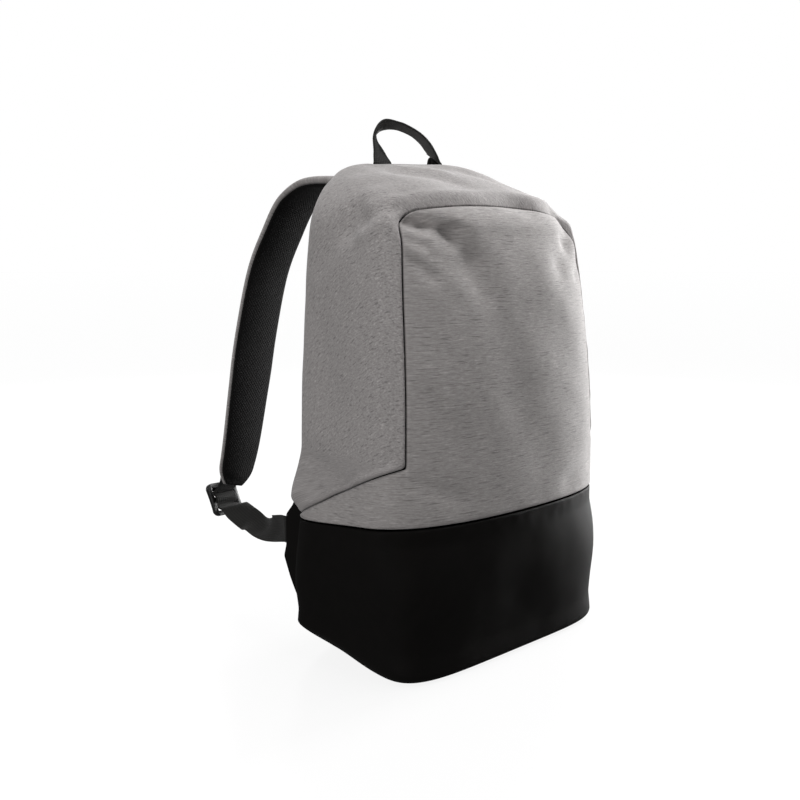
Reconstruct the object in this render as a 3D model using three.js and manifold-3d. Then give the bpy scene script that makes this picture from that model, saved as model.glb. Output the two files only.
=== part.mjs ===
// Anti theft backpack: a soft day pack with a grey heather upper, a black base, a padded back,
// two shoulder straps and a webbing handle.
// Millimetres. +X is the right side seen from the front, the front faces -Y, +Z is up.
// The origin is the middle of the flat foot on which the bag stands.
import * as THREE from 'three';
import { mergeVertices } from 'three/addons/utils/BufferGeometryUtils.js';
import Module from 'manifold-3d';

const wasm = await Module();
wasm.setup();

// Driving dimensions of the bag
const bagHeight = 460;
const bagWidth = 314;
const bagDepth = 160;
const backY = 75;
const wall = 3;
const baseWall = 3.4;
const backPadThickness = 6;
const shoulderRadius = 69;
const frontCornerDepth = 60;
const ridgeDepth = 12;
const frontRollStart = 66;
const footInset = 9;
const footRise = 7;
const heelInset = 13;
const heelLift = 30;
const heelFade = 60;
const seatBulge = 9;
const seatBulgeHeight = 210;
const cornerSettleHeight = 120;
const foldDepth = 5;
const foldBreadth = 15;
const rimMiddleShare = 0.2;
const seamGap = 0.6;
const seatGap = 0.3;

// Seams that part the shell into its panels
const baseSeamHeight = 136;
const panelTopDrop = 48;
const panelTopCrown = 4;
const panelCornerRadius = 26;
const panelSideRise = 55;
const panelCornerBehindFront = 23;
const panelEdgeShare = 0.884;
const zipEdgeInset = 16;
const zipBandWidth = 11;
const zipTopDrop = 20;
const zipCornerRadius = 60;
const zipEndHeight = 150;
const backPanelBottom = 26;
const backPanelBottomRadius = 22;

// Webbing handle
const handleSpan = 78;
const handleRise = 40;
const handleLean = 15;
const handleWebWidth = 25;
const handleWebThickness = 2.4;
const handleFootInset = 9;

// Shoulder straps
const strapReach = 129;
const strapWidth = 51;
const strapEndWidth = 40;
const strapPadThickness = 4.2;
const strapCoverThickness = 2.6;
const strapLayerGap = 0.5;
const strapTopOffset = 38;
const strapSpread = 80;
const webWidth = 26;
const webThickness = 1.8;
const lockWidth = 35;
const lockLength = 34;
const lockThickness = 5;
const lockBar = 4.5;
const lockRail = 3.8;
const lockCorner = 6;
const lockStandoff = 15;
const lockDrop = 16;
const webClearance = 0.5;
const tabLength = 20;
const wingThickness = 2.6;
const wingInset = 14;
const wingAboveSeamHeight = 44;
const wingBelowSeamDepth = 84;
const wingReach = 19;
const webSag = 9;
const tabLift = 2;
const tabStandoff = 0.3;

// Body sections from the foot up: each row is shares of the height, the half width and the depth
const bodySections = [
  { up: 0.055, half: 0.938, deep: 0.952 },
  { up: 0.217, half: 1.000, deep: 1.000 },
  { up: 0.543, half: 0.982, deep: 0.988 },
  { up: 0.870, half: 0.894, deep: 0.893 },
  { up: 1.000, half: 0.758, deep: 0.860 },
];
// Folds and dents of the soft walls, a row each. The ends are shares of the half width, the
// depth and the height, and the rest are shares of the fold depth and the fold breadth
const folds = [
  // panel corner, left and right
  { from: [-0.74, -0.29, 0.872], to: [-0.40, -0.44, 0.765], deep: 1.0, broad: 1.00 },
  { from: [0.70, -0.31, 0.868], to: [0.46, -0.43, 0.790], deep: 0.6, broad: 0.95 },
  // shoulders
  { from: [-0.90, 0.05, 0.858], to: [-0.70, -0.14, 0.922], deep: 0.8, broad: 0.95 },
  { from: [-0.93, 0.26, 0.790], to: [-0.88, 0.03, 0.885], deep: 0.6, broad: 0.85 },
  { from: [0.90, 0.08, 0.850], to: [0.72, -0.13, 0.918], deep: 0.7, broad: 0.95 },
  // top
  { from: [-0.22, -0.12, 0.948], to: [0.24, -0.28, 0.918], deep: 0.5, broad: 1.20 },
  // sides, above the base seam
  { from: [-0.99, 0.30, 0.420], to: [-1.00, 0.00, 0.385], deep: 0.7, broad: 0.80 },
  { from: [-0.98, 0.35, 0.378], to: [-1.00, 0.10, 0.340], deep: 0.5, broad: 0.75 },
  { from: [1.00, 0.28, 0.410], to: [1.00, 0.02, 0.380], deep: 0.6, broad: 0.80 },
  // base, at the front
  { from: [0.20, -0.49, 0.045], to: [-0.05, -0.51, 0.120], deep: 0.6, broad: 0.95 },
];
// Corner form of the plan, from square at the foot to round above the base
const cornerPower = { foot: 5, upper: 2.4, back: 8 };
// How quickly the front rolls over into the sloping top
const rollPower = 0.85;

const ringFront = 32;
const ringBack = 18;
const sideRows = 12;
const shoulderRows = 9;
const footRows = 3;

const materials = {
  heather: new THREE.MeshStandardMaterial({ color: 0x87807f, roughness: 0.95, metalness: 0 }),
  blackCloth: new THREE.MeshStandardMaterial({ color: 0x171616, roughness: 0.7, metalness: 0 }),
  airMesh: new THREE.MeshStandardMaterial({ color: 0x1d1b1b, roughness: 0.9, metalness: 0 }),
  webbing: new THREE.MeshStandardMaterial({ color: 0x2c2b28, roughness: 0.75, metalness: 0 }),
  plastic: new THREE.MeshStandardMaterial({ color: 0x0e0e0e, roughness: 0.4, metalness: 0 }),
  zip: new THREE.MeshStandardMaterial({ color: 0x202020, roughness: 0.6, metalness: 0 }),
};

const vector = (x, y, z) => new THREE.Vector3(x, y, z);
const clamp01 = (t) => Math.min(1, Math.max(0, t));
const mix = (a, b, t) => a + (b - a) * t;
const power = (value, exponent) => Math.sign(value) * Math.abs(value) ** exponent;

// Smooth value of one column of a table at a share of its leading column
function along(table, key, column, share) {
  const last = table.length - 1;
  let i = 0;
  while (i < last - 1 && share > table[i + 1][key]) i += 1;
  const slope = (j) => {
    const a = table[Math.max(0, j - 1)];
    const b = table[Math.min(last, j + 1)];
    return (b[column] - a[column]) / (b[key] - a[key]);
  };
  const width = table[i + 1][key] - table[i][key];
  const t = clamp01((share - table[i][key]) / width);
  const m0 = slope(i) * width;
  const m1 = slope(i + 1) * width;
  const p0 = table[i][column];
  const p1 = table[i + 1][column];
  const rise = p1 - p0;
  return p0 + m0 * t + (3 * rise - 2 * m0 - m1) * t ** 2 + (m0 + m1 - 2 * rise) * t ** 3;
}

const shoulderStart = bagHeight - shoulderRadius;

// Half width of the bag at a height, rounded in at the two top corners
function halfWidth(z) {
  const half = along(bodySections, 'up', 'half', z / bagHeight) * bagWidth / 2;
  const t = clamp01((z - shoulderStart) / shoulderRadius);
  return half - shoulderRadius * (1 - Math.sqrt(1 - t * t));
}

// Front of the bag at a height, rolled back over the top to a narrow ridge
function frontY(z) {
  const start = bagHeight - frontRollStart;
  const flat = backY - along(bodySections, 'up', 'deep', Math.min(z, start) / bagHeight) * bagDepth;
  const t = clamp01((z - start) / frontRollStart);
  return mix(flat, backY - ridgeDepth, 1 - (1 - t * t) ** rollPower);
}

// Back of the bag at a height: the filled base stands a little proud of the straight back
function backEdge(z) {
  const t = clamp01(z / seatBulgeHeight);
  return backY + seatBulge * (1 - t * t * (3 - 2 * t));
}

// One plan ring of the bag at a height, drawn in by an inset
function bodyRing(z, inset) {
  const half = halfWidth(z) - inset;
  const front = frontY(z) + inset;
  const back = backEdge(z) - inset;
  const middle = Math.min(front + frontCornerDepth, back - ridgeDepth / 2);
  const settle = clamp01(z / cornerSettleHeight);
  const frontPower = 2 / mix(cornerPower.foot, cornerPower.upper, settle);
  const backPower = 2 / cornerPower.back;
  const ring = [];
  for (let i = 0; i < ringFront; i += 1) {
    const angle = Math.PI + Math.PI * i / ringFront;
    const x = half * power(Math.cos(angle), frontPower);
    const y = middle + (middle - front) * power(Math.sin(angle), frontPower);
    ring.push(new THREE.Vector3(x, y, z));
  }
  for (let i = 0; i < ringBack; i += 1) {
    const angle = Math.PI * i / ringBack;
    const x = half * power(Math.cos(angle), backPower);
    const y = middle + (back - middle) * power(Math.sin(angle), backPower);
    ring.push(new THREE.Vector3(x, y, z));
  }
  return ring;
}

// How far the lower rim has risen at a point: from the front to the back, and most at the corners
function rimLift(p) {
  const back = clamp01((p.y - frontY(footRise)) / (backEdge(0) - frontY(footRise)));
  const corner = clamp01(Math.abs(p.x) / halfWidth(footRise));
  return back * mix(rimMiddleShare, 1, corner ** 3);
}

// Moves a point of the wall inwards by the folds near it
function foldIn(p) {
  const size = vector(bagWidth / 2, bagDepth, bagHeight);
  const core = vector(0, 0, Math.min(p.z, bagHeight * 0.7));
  const inwards = core.sub(p).normalize();
  const depth = folds.reduce((sum, fold) => {
    const line = new THREE.Line3(
      vector(...fold.from).multiply(size),
      vector(...fold.to).multiply(size),
    );
    const nearest = line.closestPointToPoint(p, true, vector(0, 0, 0));
    const away = p.distanceTo(nearest) / (fold.broad * foldBreadth);
    return sum + fold.deep * foldDepth * Math.exp(-(away ** 2));
  }, 0);
  return p.addScaledVector(inwards, depth);
}

// Rings from the flat foot to the ridge. The foot rolls up at its edge, most at the back corners
function bodyRings(inset, footHeight, topInset) {
  const full = bodyRing(footRise, inset);
  const rings = [];
  for (let i = 0; i <= footRows; i += 1) {
    const turn = Math.PI / 2 * i / footRows;
    const spread = Math.sin(turn);
    rings.push(full.map((p) => {
      const lift = rimLift(p);
      const drawn = footInset + heelInset * lift;
      const shrink = 1 - drawn / (bagWidth / 2);
      const top = footRise + heelLift * lift;
      const footY = p.y * (1 - 2 * drawn / bagDepth);
      return vector(
        mix(p.x * shrink, p.x, spread),
        mix(footY, p.y, spread),
        footHeight + (top - footHeight) * (1 - Math.cos(turn)),
      );
    }));
  }
  for (let i = 1; i < sideRows; i += 1) {
    const z = mix(footRise, shoulderStart, (i / sideRows) ** 1.1);
    rings.push(bodyRing(z, inset).map((p) => {
      p.z += heelLift * rimLift(p) * clamp01(1 - (z - footRise) / heelFade);
      return p;
    }));
  }
  for (let i = 0; i <= shoulderRows; i += 1) {
    const z = shoulderStart + shoulderRadius * Math.sin(Math.PI / 2 * i / shoulderRows);
    const ring = bodyRing(z, inset);
    const lowered = mix(0, topInset, (z - shoulderStart) / shoulderRadius);
    rings.push(ring.map((p) => p.setZ(z - lowered)));
  }
  return rings.map((ring) => ring.map((p) => (p.z > footRise ? foldIn(p) : p)));
}

// Closed body through rings of equal count, with a flat fan over each end
function loft(rings) {
  const count = rings[0].length;
  const positions = rings.flat().flatMap((p) => [p.x, p.y, p.z]);
  const index = [];
  for (let r = 0; r < rings.length - 1; r += 1) {
    for (let i = 0; i < count; i += 1) {
      const a = r * count + i;
      const b = r * count + (i + 1) % count;
      index.push(a, b, b + count, a, b + count, a + count);
    }
  }
  [rings[0], rings[rings.length - 1]].forEach((ring, end) => {
    const centre = ring.reduce((sum, p) => sum.add(p), new THREE.Vector3()).divideScalar(count);
    const hub = positions.length / 3;
    const first = end ? (rings.length - 1) * count : 0;
    positions.push(centre.x, centre.y, centre.z);
    for (let i = 0; i < count; i += 1) {
      const a = first + i;
      const b = first + (i + 1) % count;
      index.push(...(end ? [a, b, hub] : [b, a, hub]));
    }
  });
  const geometry = new THREE.BufferGeometry();
  geometry.setAttribute('position', new THREE.Float32BufferAttribute(positions, 3));
  geometry.setIndex(index);
  return geometry;
}

// Geometry to a solid that can be cut, and back
function toSolid(geometry) {
  const bare = geometry.clone();
  bare.deleteAttribute('normal');
  bare.deleteAttribute('uv');
  const merged = mergeVertices(bare);
  return new wasm.Manifold(new wasm.Mesh({
    numProp: 3,
    vertProperties: new Float32Array(merged.attributes.position.array),
    triVerts: new Uint32Array(merged.index.array),
  }));
}

function toGeometry(solid) {
  const mesh = solid.getMesh();
  const geometry = new THREE.BufferGeometry();
  geometry.setAttribute('position', new THREE.Float32BufferAttribute(mesh.vertProperties, 3));
  geometry.setIndex(Array.from(mesh.triVerts));
  return geometry;
}

const box = (low, high) => {
  const size = high.map((v, i) => v - low[i]);
  const geometry = new THREE.BoxGeometry(...size);
  geometry.translate(...low.map((v, i) => v + size[i] / 2));
  return toSolid(geometry);
};

// Front view outline with rounded corners, extruded along Y between two depths
function frontCut(points, yLow, yHigh) {
  const shape = new THREE.Shape(points);
  const geometry = new THREE.ExtrudeGeometry(shape, { depth: yHigh - yLow, bevelEnabled: false });
  geometry.rotateX(Math.PI / 2);
  geometry.translate(0, yHigh, 0);
  return toSolid(geometry);
}

// Side view outline, extruded along X over the whole width
function sideCut(points, halfX) {
  const shape = new THREE.Shape(points);
  const geometry = new THREE.ExtrudeGeometry(shape, { depth: 2 * halfX, bevelEnabled: false });
  geometry.rotateY(Math.PI / 2);
  geometry.rotateX(Math.PI / 2);
  geometry.translate(-halfX, 0, 0);
  return toSolid(geometry);
}

// Half of the front view outline, from the bottom up the right side to the middle of the top
function outline({ edge, bottom, top, corner, crown = 0, bottomCorner = 0, grow = 0 }) {
  const cornerSteps = 5;
  const sideSteps = 8;
  const half = [];
  const quarter = (centreX, centreZ, radius, from) => {
    for (let i = 0; i <= cornerSteps; i += 1) {
      const turn = from + Math.PI / 2 * i / cornerSteps;
      half.push(new THREE.Vector2(centreX + radius * Math.cos(turn), centreZ + radius * Math.sin(turn)));
    }
  };
  if (bottomCorner) {
    const low = bottom + bottomCorner;
    quarter(edge(low) - bottomCorner, low, bottomCorner + grow, -Math.PI / 2);
  } else {
    half.push(new THREE.Vector2(edge(bottom) + grow, bottom));
  }
  const sideTop = top - corner;
  const sideBottom = bottom + bottomCorner;
  for (let i = 1; i < sideSteps; i += 1) {
    const z = mix(sideBottom, sideTop, i / sideSteps);
    half.push(new THREE.Vector2(edge(z) + grow, z));
  }
  const shoulder = edge(sideTop) - corner;
  quarter(shoulder, sideTop, corner + grow, 0);
  for (let i = 1; i < cornerSteps; i += 1) {
    const share = 1 - i / cornerSteps;
    half.push(new THREE.Vector2(shoulder * share, top + grow + crown * (1 - share * share)));
  }
  const mirrored = half.map((p) => new THREE.Vector2(-p.x, p.y)).reverse();
  return [...half, new THREE.Vector2(0, top + grow + crown), ...mirrored];
}

const plainHalf = (z) => along(bodySections, 'up', 'half', z / bagHeight) * bagWidth / 2;
const panelTop = bagHeight - panelTopDrop;
const reachY = bagDepth * 2;

// The region in front of the piping: the front panel, with the strip that wraps under the gusset
function frontRegion(grow) {
  const face = frontCut(outline({
    edge: (z) => plainHalf(z) * panelEdgeShare,
    bottom: 0,
    top: panelTop,
    corner: panelCornerRadius,
    crown: panelTopCrown,
    grow,
  }), -reachY, 0);
  const cornerHeight = baseSeamHeight + panelSideRise;
  const cornerY = frontY(cornerHeight) + panelCornerBehindFront;
  const slope = panelSideRise / (backY - cornerY);
  const below = (y) => new THREE.Vector2(y, baseSeamHeight + slope * (backY - y) + grow);
  const strip = sideCut([
    new THREE.Vector2(-reachY, 0),
    new THREE.Vector2(backY + wall, 0),
    below(backY + wall),
    below(-reachY),
  ], bagWidth);
  return face.add(strip);
}

// Outlines on the back face: the zip band's outer edge, and the padded panel inside it
const zipOutline = (grow) => outline({
  edge: (z) => plainHalf(z) - zipEdgeInset,
  bottom: zipEndHeight,
  top: bagHeight - zipTopDrop,
  corner: zipCornerRadius,
  grow,
});
const backPanelInset = zipEdgeInset + zipBandWidth;
const backOutline = (grow) => outline({
  edge: (z) => plainHalf(z) - backPanelInset,
  bottom: backPanelBottom,
  top: bagHeight - zipTopDrop - zipBandWidth,
  corner: zipCornerRadius - zipBandWidth,
  bottomCorner: backPanelBottomRadius,
  grow,
});

const backCut = (points) => frontCut(
  points,
  backY - 2 * backPadThickness,
  backY + seatBulge + wall,
);

// The shell of the bag and the panels cut from it
const outer = toSolid(loft(bodyRings(0, 0, 0)));
const hollow = toSolid(loft(bodyRings(wall, baseWall, wall)));
const shell = outer.subtract(hollow);
const wide = bagWidth;
const below = box([-wide, -reachY, -wall], [wide, reachY, baseSeamHeight - seamGap / 2]);
const above = box([-wide, -reachY, baseSeamHeight + seamGap / 2], [wide, reachY, bagHeight + wall]);
const backHole = backCut(zipOutline(seamGap)).add(backCut(backOutline(seamGap)));
const backSkin = outer.subtract(outer.translate([0, -backPadThickness, 0]));
const upper = shell.intersect(above).subtract(backHole);

const panels = {
  front_panel: [upper.intersect(frontRegion(0)), 'heather'],
  side_top_gusset: [upper.subtract(frontRegion(seamGap)), 'heather'],
  base_panel: [shell.intersect(below).subtract(backHole), 'blackCloth'],
  zip_band: [shell.intersect(backCut(zipOutline(0)).subtract(backCut(backOutline(seamGap)))), 'zip'],
  back_panel: [backSkin.intersect(backCut(backOutline(0))), 'airMesh'],
};

const bag = new THREE.Group();

function addMesh(name, geometry, material, mirrored = false) {
  if (mirrored) {
    geometry.scale(-1, 1, 1);
    const index = geometry.index.array;
    for (let i = 0; i < index.length; i += 3) [index[i], index[i + 1]] = [index[i + 1], index[i]];
  }
  geometry.computeVertexNormals();
  const mesh = new THREE.Mesh(geometry, materials[material]);
  mesh.name = name;
  bag.add(mesh);
}

Object.entries(panels).forEach(([name, [solid, material]]) => {
  addMesh(name, toGeometry(solid), material);
});

// Flat band along a path. The table gives places and the way the band's width points
function band({ stations, steps, width, thickness, offset = 0, chamfer = 0.3 }) {
  const path = new THREE.CatmullRomCurve3(stations.map((s) => s.at), false, 'centripetal');
  const turn = new THREE.CatmullRomCurve3(stations.map((s) => s.across), false, 'centripetal');
  const rings = [];
  for (let i = 0; i <= steps; i += 1) {
    const t = i / steps;
    const tangent = path.getTangent(t);
    const across = turn.getPoint(t);
    across.addScaledVector(tangent, -across.dot(tangent)).normalize();
    const normal = new THREE.Vector3().crossVectors(tangent, across);
    const centre = path.getPoint(t).addScaledVector(normal, offset);
    const w = width(t) / 2;
    const h = thickness(t) / 2;
    const c = h * 2 * chamfer;
    const corners = [
      [w - c, -h], [w, -h + c], [w, h - c], [w - c, h],
      [-w + c, h], [-w, h - c], [-w, -h + c], [-w + c, -h],
    ];
    rings.push(corners.map(([a, b]) => (
      centre.clone().addScaledVector(across, a).addScaledVector(normal, b)
    )));
  }
  return loft(rings);
}

// Handle: columns are shares of the half span, the lean and the rise, and the turn of the
// band's width in degrees
const handleArch = [
  { across: -0.97, lean: 0.00, rise: 0.00, turned: 0 },
  { across: -0.97, lean: 0.00, rise: 0.07, turned: 3 },
  { across: -0.97, lean: 0.21, rise: 0.24, turned: 16 },
  { across: -1.00, lean: 0.48, rise: 0.53, turned: 34 },
  { across: -0.95, lean: 0.67, rise: 0.73, turned: 54 },
  { across: -0.74, lean: 0.59, rise: 0.90, turned: 52 },
  { across: -0.39, lean: 0.15, rise: 0.90, turned: 31 },
  { across: 0.15, lean: -0.14, rise: 0.75, turned: 36 },
  { across: 0.57, lean: -0.13, rise: 0.54, turned: 43 },
  { across: 0.90, lean: -0.05, rise: 0.27, turned: 43 },
  { across: 1.00, lean: 0.04, rise: 0.20, turned: 29 },
  { across: 0.97, lean: 0.00, rise: 0.10, turned: 5 },
  { across: 0.97, lean: 0.00, rise: 0.00, turned: 0 },
];
const handleFootY = backY - handleFootInset;
const leanLength = Math.hypot(handleLean, handleRise);
const handleStations = handleArch.map((row) => {
  const turned = THREE.MathUtils.degToRad(row.turned);
  const sideways = Math.sin(turned);
  return {
    at: vector(
      row.across * handleSpan / 2,
      handleFootY + row.lean * handleLean,
      bagHeight + seatGap + row.rise * handleRise,
    ),
    across: vector(
      Math.cos(turned),
      sideways * handleRise / leanLength,
      -sideways * handleLean / leanLength,
    ),
  };
});
addMesh('top_handle', band({
  stations: handleStations,
  steps: 30,
  width: () => handleWebWidth,
  thickness: () => handleWebThickness,
}), 'webbing');

// Left shoulder strap, from its seat on the back panel over and down to its free end.
// Columns are shares of the sideways spread, the reach behind the back and the bag's height
const strapRoute = [
  { out: 0.00, reach: 0.000, up: 0.890 },
  { out: 0.00, reach: 0.000, up: 0.912 },
  { out: 0.00, reach: 0.008, up: 0.934 },
  { out: 0.01, reach: 0.090, up: 0.962 },
  { out: 0.05, reach: 0.330, up: 0.974 },
  { out: 0.11, reach: 0.580, up: 0.967 },
  { out: 0.17, reach: 0.775, up: 0.930 },
  { out: 0.27, reach: 0.905, up: 0.852 },
  { out: 0.38, reach: 0.975, up: 0.776 },
  { out: 0.55, reach: 1.000, up: 0.642 },
  { out: 0.72, reach: 0.985, up: 0.510 },
  { out: 0.90, reach: 0.965, up: 0.378 },
  { out: 1.00, reach: 0.990, up: 0.300 },
];
const strapSeat = strapCoverThickness + strapLayerGap / 2 + seatGap;
const strapStations = strapRoute.map((row) => ({
  at: vector(
    -strapTopOffset - row.out * strapSpread,
    backY + mix(strapSeat, strapReach, row.reach),
    row.up * bagHeight,
  ),
  across: vector(1, 0, 0),
}));
const strapTaper = (t) => {
  const body = mix(strapWidth, strapEndWidth, clamp01((t - 0.8) / 0.2));
  const tip = clamp01((t - 0.955) / 0.045);
  return body * (1 - 0.45 * tip * tip);
};
// The padded mesh side faces the back, and the cloth cover lies on its outer face
const strapLayers = [
  {
    name: 'strap_pad',
    thickness: strapPadThickness,
    offset: (strapPadThickness + strapLayerGap) / 2,
    cloth: 'airMesh',
  },
  {
    name: 'strap_cover',
    thickness: strapCoverThickness,
    offset: -(strapCoverThickness + strapLayerGap) / 2,
    cloth: 'heather',
  },
];

// Sewn triangle at the lower back seam that carries the strap's webbing
const wingOffset = bagWidth / 2 - wingInset;
const wingBottom = baseSeamHeight - wingBelowSeamDepth;
const wingHeight = wingAboveSeamHeight + wingBelowSeamDepth;
const wingSeatOut = 0.8;
const wingSeatUp = 0.49;
const wingShape = [
  { out: 0.00, up: 0.00 },
  { out: 0.55, up: 0.14 },
  { out: 1.00, up: 0.29 },
  { out: wingSeatOut, up: wingSeatUp - 0.12 },
  { out: wingSeatOut, up: wingSeatUp + 0.12 },
  { out: 0.40, up: 0.69 },
  { out: 0.26, up: 0.80 },
  { out: 0.00, up: 1.00 },
];
const wingFoot = backY + seatGap;

// Webbing from the ladder lock to the wing: columns are shares of the sideways gap between
// them, of the way forward, and of the sag, and the turn of the band's width in degrees
const webRoute = [
  { out: 0.02, forward: 0.090, sag: 0.08, turned: 8 },
  { out: 0.05, forward: 0.170, sag: 0.36, turned: 45 },
  { out: 0.14, forward: 0.310, sag: 0.72, turned: 62 },
  { out: 0.30, forward: 0.460, sag: 0.96, turned: 44 },
  { out: 0.52, forward: 0.600, sag: 1.00, turned: 52 },
  { out: 0.78, forward: 0.780, sag: 0.62, turned: 86 },
  { out: 1.00, forward: 0.960, sag: 0.00, turned: 90 },
  { out: 1.00, forward: 1.000, sag: 0.00, turned: 90 },
];
const lockTurn = THREE.MathUtils.degToRad(28);

function ladderLock() {
  const w = lockWidth / 2;
  const l = lockLength / 2;
  const corner = [[0, 1], [0.3, 0.3], [1, 0]];
  const quarter = (sx, sy, order) => order.map(([a, b]) => (
    new THREE.Vector2(sx * (w - a * lockCorner), sy * (l - b * lockCorner))
  ));
  const turned = [...corner].reverse();
  const shape = new THREE.Shape([
    ...quarter(1, 1, corner),
    ...quarter(-1, 1, turned),
    ...quarter(-1, -1, corner),
    ...quarter(1, -1, turned),
  ]);
  const slotHalf = w - lockRail;
  const slotHeight = (lockLength - 3 * lockBar) / 2;
  [-l + lockBar, l - lockBar - slotHeight].forEach((low) => {
    shape.holes.push(new THREE.Path([
      new THREE.Vector2(-slotHalf, low),
      new THREE.Vector2(-slotHalf, low + slotHeight),
      new THREE.Vector2(slotHalf, low + slotHeight),
      new THREE.Vector2(slotHalf, low),
    ]));
  });
  const geometry = new THREE.ExtrudeGeometry(shape, { depth: lockThickness, bevelEnabled: false });
  geometry.translate(0, 0, -lockThickness / 2);
  geometry.rotateX(Math.PI / 2 - lockTurn);
  return toGeometry(toSolid(geometry));
}

// Places that the lower strap pieces share
const strapEnd = strapStations[strapStations.length - 1].at;
const lockCentre = vector(
  strapEnd.x,
  strapEnd.y + lockStandoff,
  strapEnd.z - lockDrop,
);
const lockDown = vector(0, -Math.sin(lockTurn), -Math.cos(lockTurn));
const lockForward = vector(0, -Math.cos(lockTurn), Math.sin(lockTurn));
const slotCentre = (lockLength - lockBar) / 4;
const lockPoint = (down, forward) => ({
  at: lockCentre.clone().addScaledVector(lockDown, down).addScaledVector(lockForward, forward),
  across: vector(1, 0, 0),
});
// How far behind the lock's middle plane the webbing lies where it passes a bar
const webBehind = (lockThickness + webThickness) / 2 + webClearance;
const wingSeat = vector(
  -wingOffset,
  wingFoot + wingReach * wingSeatOut + seatGap,
  wingBottom + wingHeight * wingSeatUp,
);

const webStart = lockPoint(slotCentre, 0);
const webStations = [
  lockPoint(-slotCentre * 0.7, -webBehind),
  lockPoint(-slotCentre * 0.2, -webBehind),
  lockPoint(slotCentre * 0.45, -webBehind),
  webStart,
  ...webRoute.map((row) => {
    const turned = THREE.MathUtils.degToRad(row.turned);
    return {
      at: vector(
        mix(webStart.at.x, wingSeat.x, row.out),
        mix(webStart.at.y, wingSeat.y, row.forward),
        mix(webStart.at.z, wingSeat.z, clamp01(row.forward / 0.96)) - row.sag * webSag,
      ),
      across: vector(Math.cos(turned), 0, Math.sin(turned)),
    };
  }),
];

// Webbing tab from the strap's outer face through the lock's top slot and up behind its bar
const coverFace = strapCoverThickness + strapLayerGap / 2 + webThickness / 2 + seatGap;
const onStrap = (up, standOff) => {
  const share = (up - strapRoute[strapRoute.length - 2].up * bagHeight)
    / (strapEnd.z - strapRoute[strapRoute.length - 2].up * bagHeight);
  const before = strapStations[strapStations.length - 2].at;
  return {
    at: vector(strapEnd.x, mix(before.y, strapEnd.y, share) + coverFace + standOff, up),
    across: vector(1, 0, 0),
  };
};
const tabStations = [
  onStrap(strapEnd.z + tabLength, tabStandoff),
  onStrap(strapEnd.z + tabLength * 0.5, tabStandoff),
  onStrap(strapEnd.z + tabLength * 0.15, tabLift),
  lockPoint(-slotCentre, 0),
  lockPoint(-slotCentre * 1.4, -webBehind),
  lockPoint(-slotCentre * 2, -webBehind),
];

['left', 'right'].forEach((side) => {
  const mirrored = side === 'right';
  strapLayers.forEach((layer) => {
    addMesh(`${side}_${layer.name}`, band({
      stations: strapStations,
      steps: 28,
      width: strapTaper,
      thickness: () => layer.thickness,
      offset: layer.offset,
    }), layer.cloth, mirrored);
  });

  const wing = sideCut(wingShape.map((row) => new THREE.Vector2(
    wingFoot + row.out * wingReach,
    wingBottom + row.up * wingHeight,
  )), wingThickness / 2).translate([-wingOffset, 0, 0]);
  addMesh(`${side}_strap_wing`, toGeometry(wing), 'blackCloth', mirrored);

  const lock = ladderLock();
  lock.translate(lockCentre.x, lockCentre.y, lockCentre.z);
  addMesh(`${side}_ladder_lock`, lock, 'plastic', mirrored);

  addMesh(`${side}_webbing`, band({
    stations: webStations,
    steps: 24,
    width: () => webWidth,
    thickness: () => webThickness,
  }), 'webbing', mirrored);

  addMesh(`${side}_lock_tab`, band({
    stations: tabStations,
    steps: 16,
    width: () => webWidth,
    thickness: () => webThickness,
  }), 'webbing', mirrored);
});

export default bag;
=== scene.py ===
# %% [markdown]
# # Anti theft backpack
# A soft day pack of grey heather cloth on a black base, with a padded back and two shoulder straps.
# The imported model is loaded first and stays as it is. Each cloth panel is then made as a sheet that
# follows the model's body form, sewn edge to edge with its neighbours, and stands for one of its nodes.

# %% Frame
import math

import bmesh
import bpy
import numpy as np
from mathutils import Matrix, Vector, kdtree, noise
from mathutils.bvhtree import BVHTree


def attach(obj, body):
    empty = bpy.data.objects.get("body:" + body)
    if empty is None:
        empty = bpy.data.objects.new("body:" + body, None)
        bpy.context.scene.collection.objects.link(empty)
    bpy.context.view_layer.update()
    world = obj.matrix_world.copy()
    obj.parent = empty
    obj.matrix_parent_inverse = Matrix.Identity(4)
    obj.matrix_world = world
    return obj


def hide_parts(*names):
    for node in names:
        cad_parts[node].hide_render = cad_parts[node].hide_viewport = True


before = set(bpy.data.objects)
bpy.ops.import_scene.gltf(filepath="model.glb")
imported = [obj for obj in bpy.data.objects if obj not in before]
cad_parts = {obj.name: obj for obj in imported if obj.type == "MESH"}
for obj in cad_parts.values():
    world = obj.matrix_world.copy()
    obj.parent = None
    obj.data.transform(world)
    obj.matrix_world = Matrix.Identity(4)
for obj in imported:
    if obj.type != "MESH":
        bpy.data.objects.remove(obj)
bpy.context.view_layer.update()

# %% [markdown]
# Lengths are written in millimetres, as a maker would measure them. A finished mesh is scaled to
# metres once, when it becomes an object.

# %% Units and small helpers
MM = 0.001


def clamp01(t):
    return min(1.0, max(0.0, t))


def mix(a, b, t):
    return a + (b - a) * t


def ease(t):
    t = np.clip(t, 0.0, 1.0)
    return t * t * (3 - 2 * t)


def unit(v):
    return v / np.linalg.norm(v, axis=-1, keepdims=True)


def bell(away, width):
    """1 in the middle, fading to almost nothing at twice the width."""
    return np.exp(-((away / width) ** 2))


def quarter_turns(count):
    """Angles from 0 up to a quarter turn, with both ends."""
    return [math.pi / 2 * i / count for i in range(count + 1)]


# %% [markdown]
# ## Camera
# The camera stands where the photograph was taken from: in front of the left side, a little above
# the middle of the bag. A lens of about 50 mm gives the same mild perspective.

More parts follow.
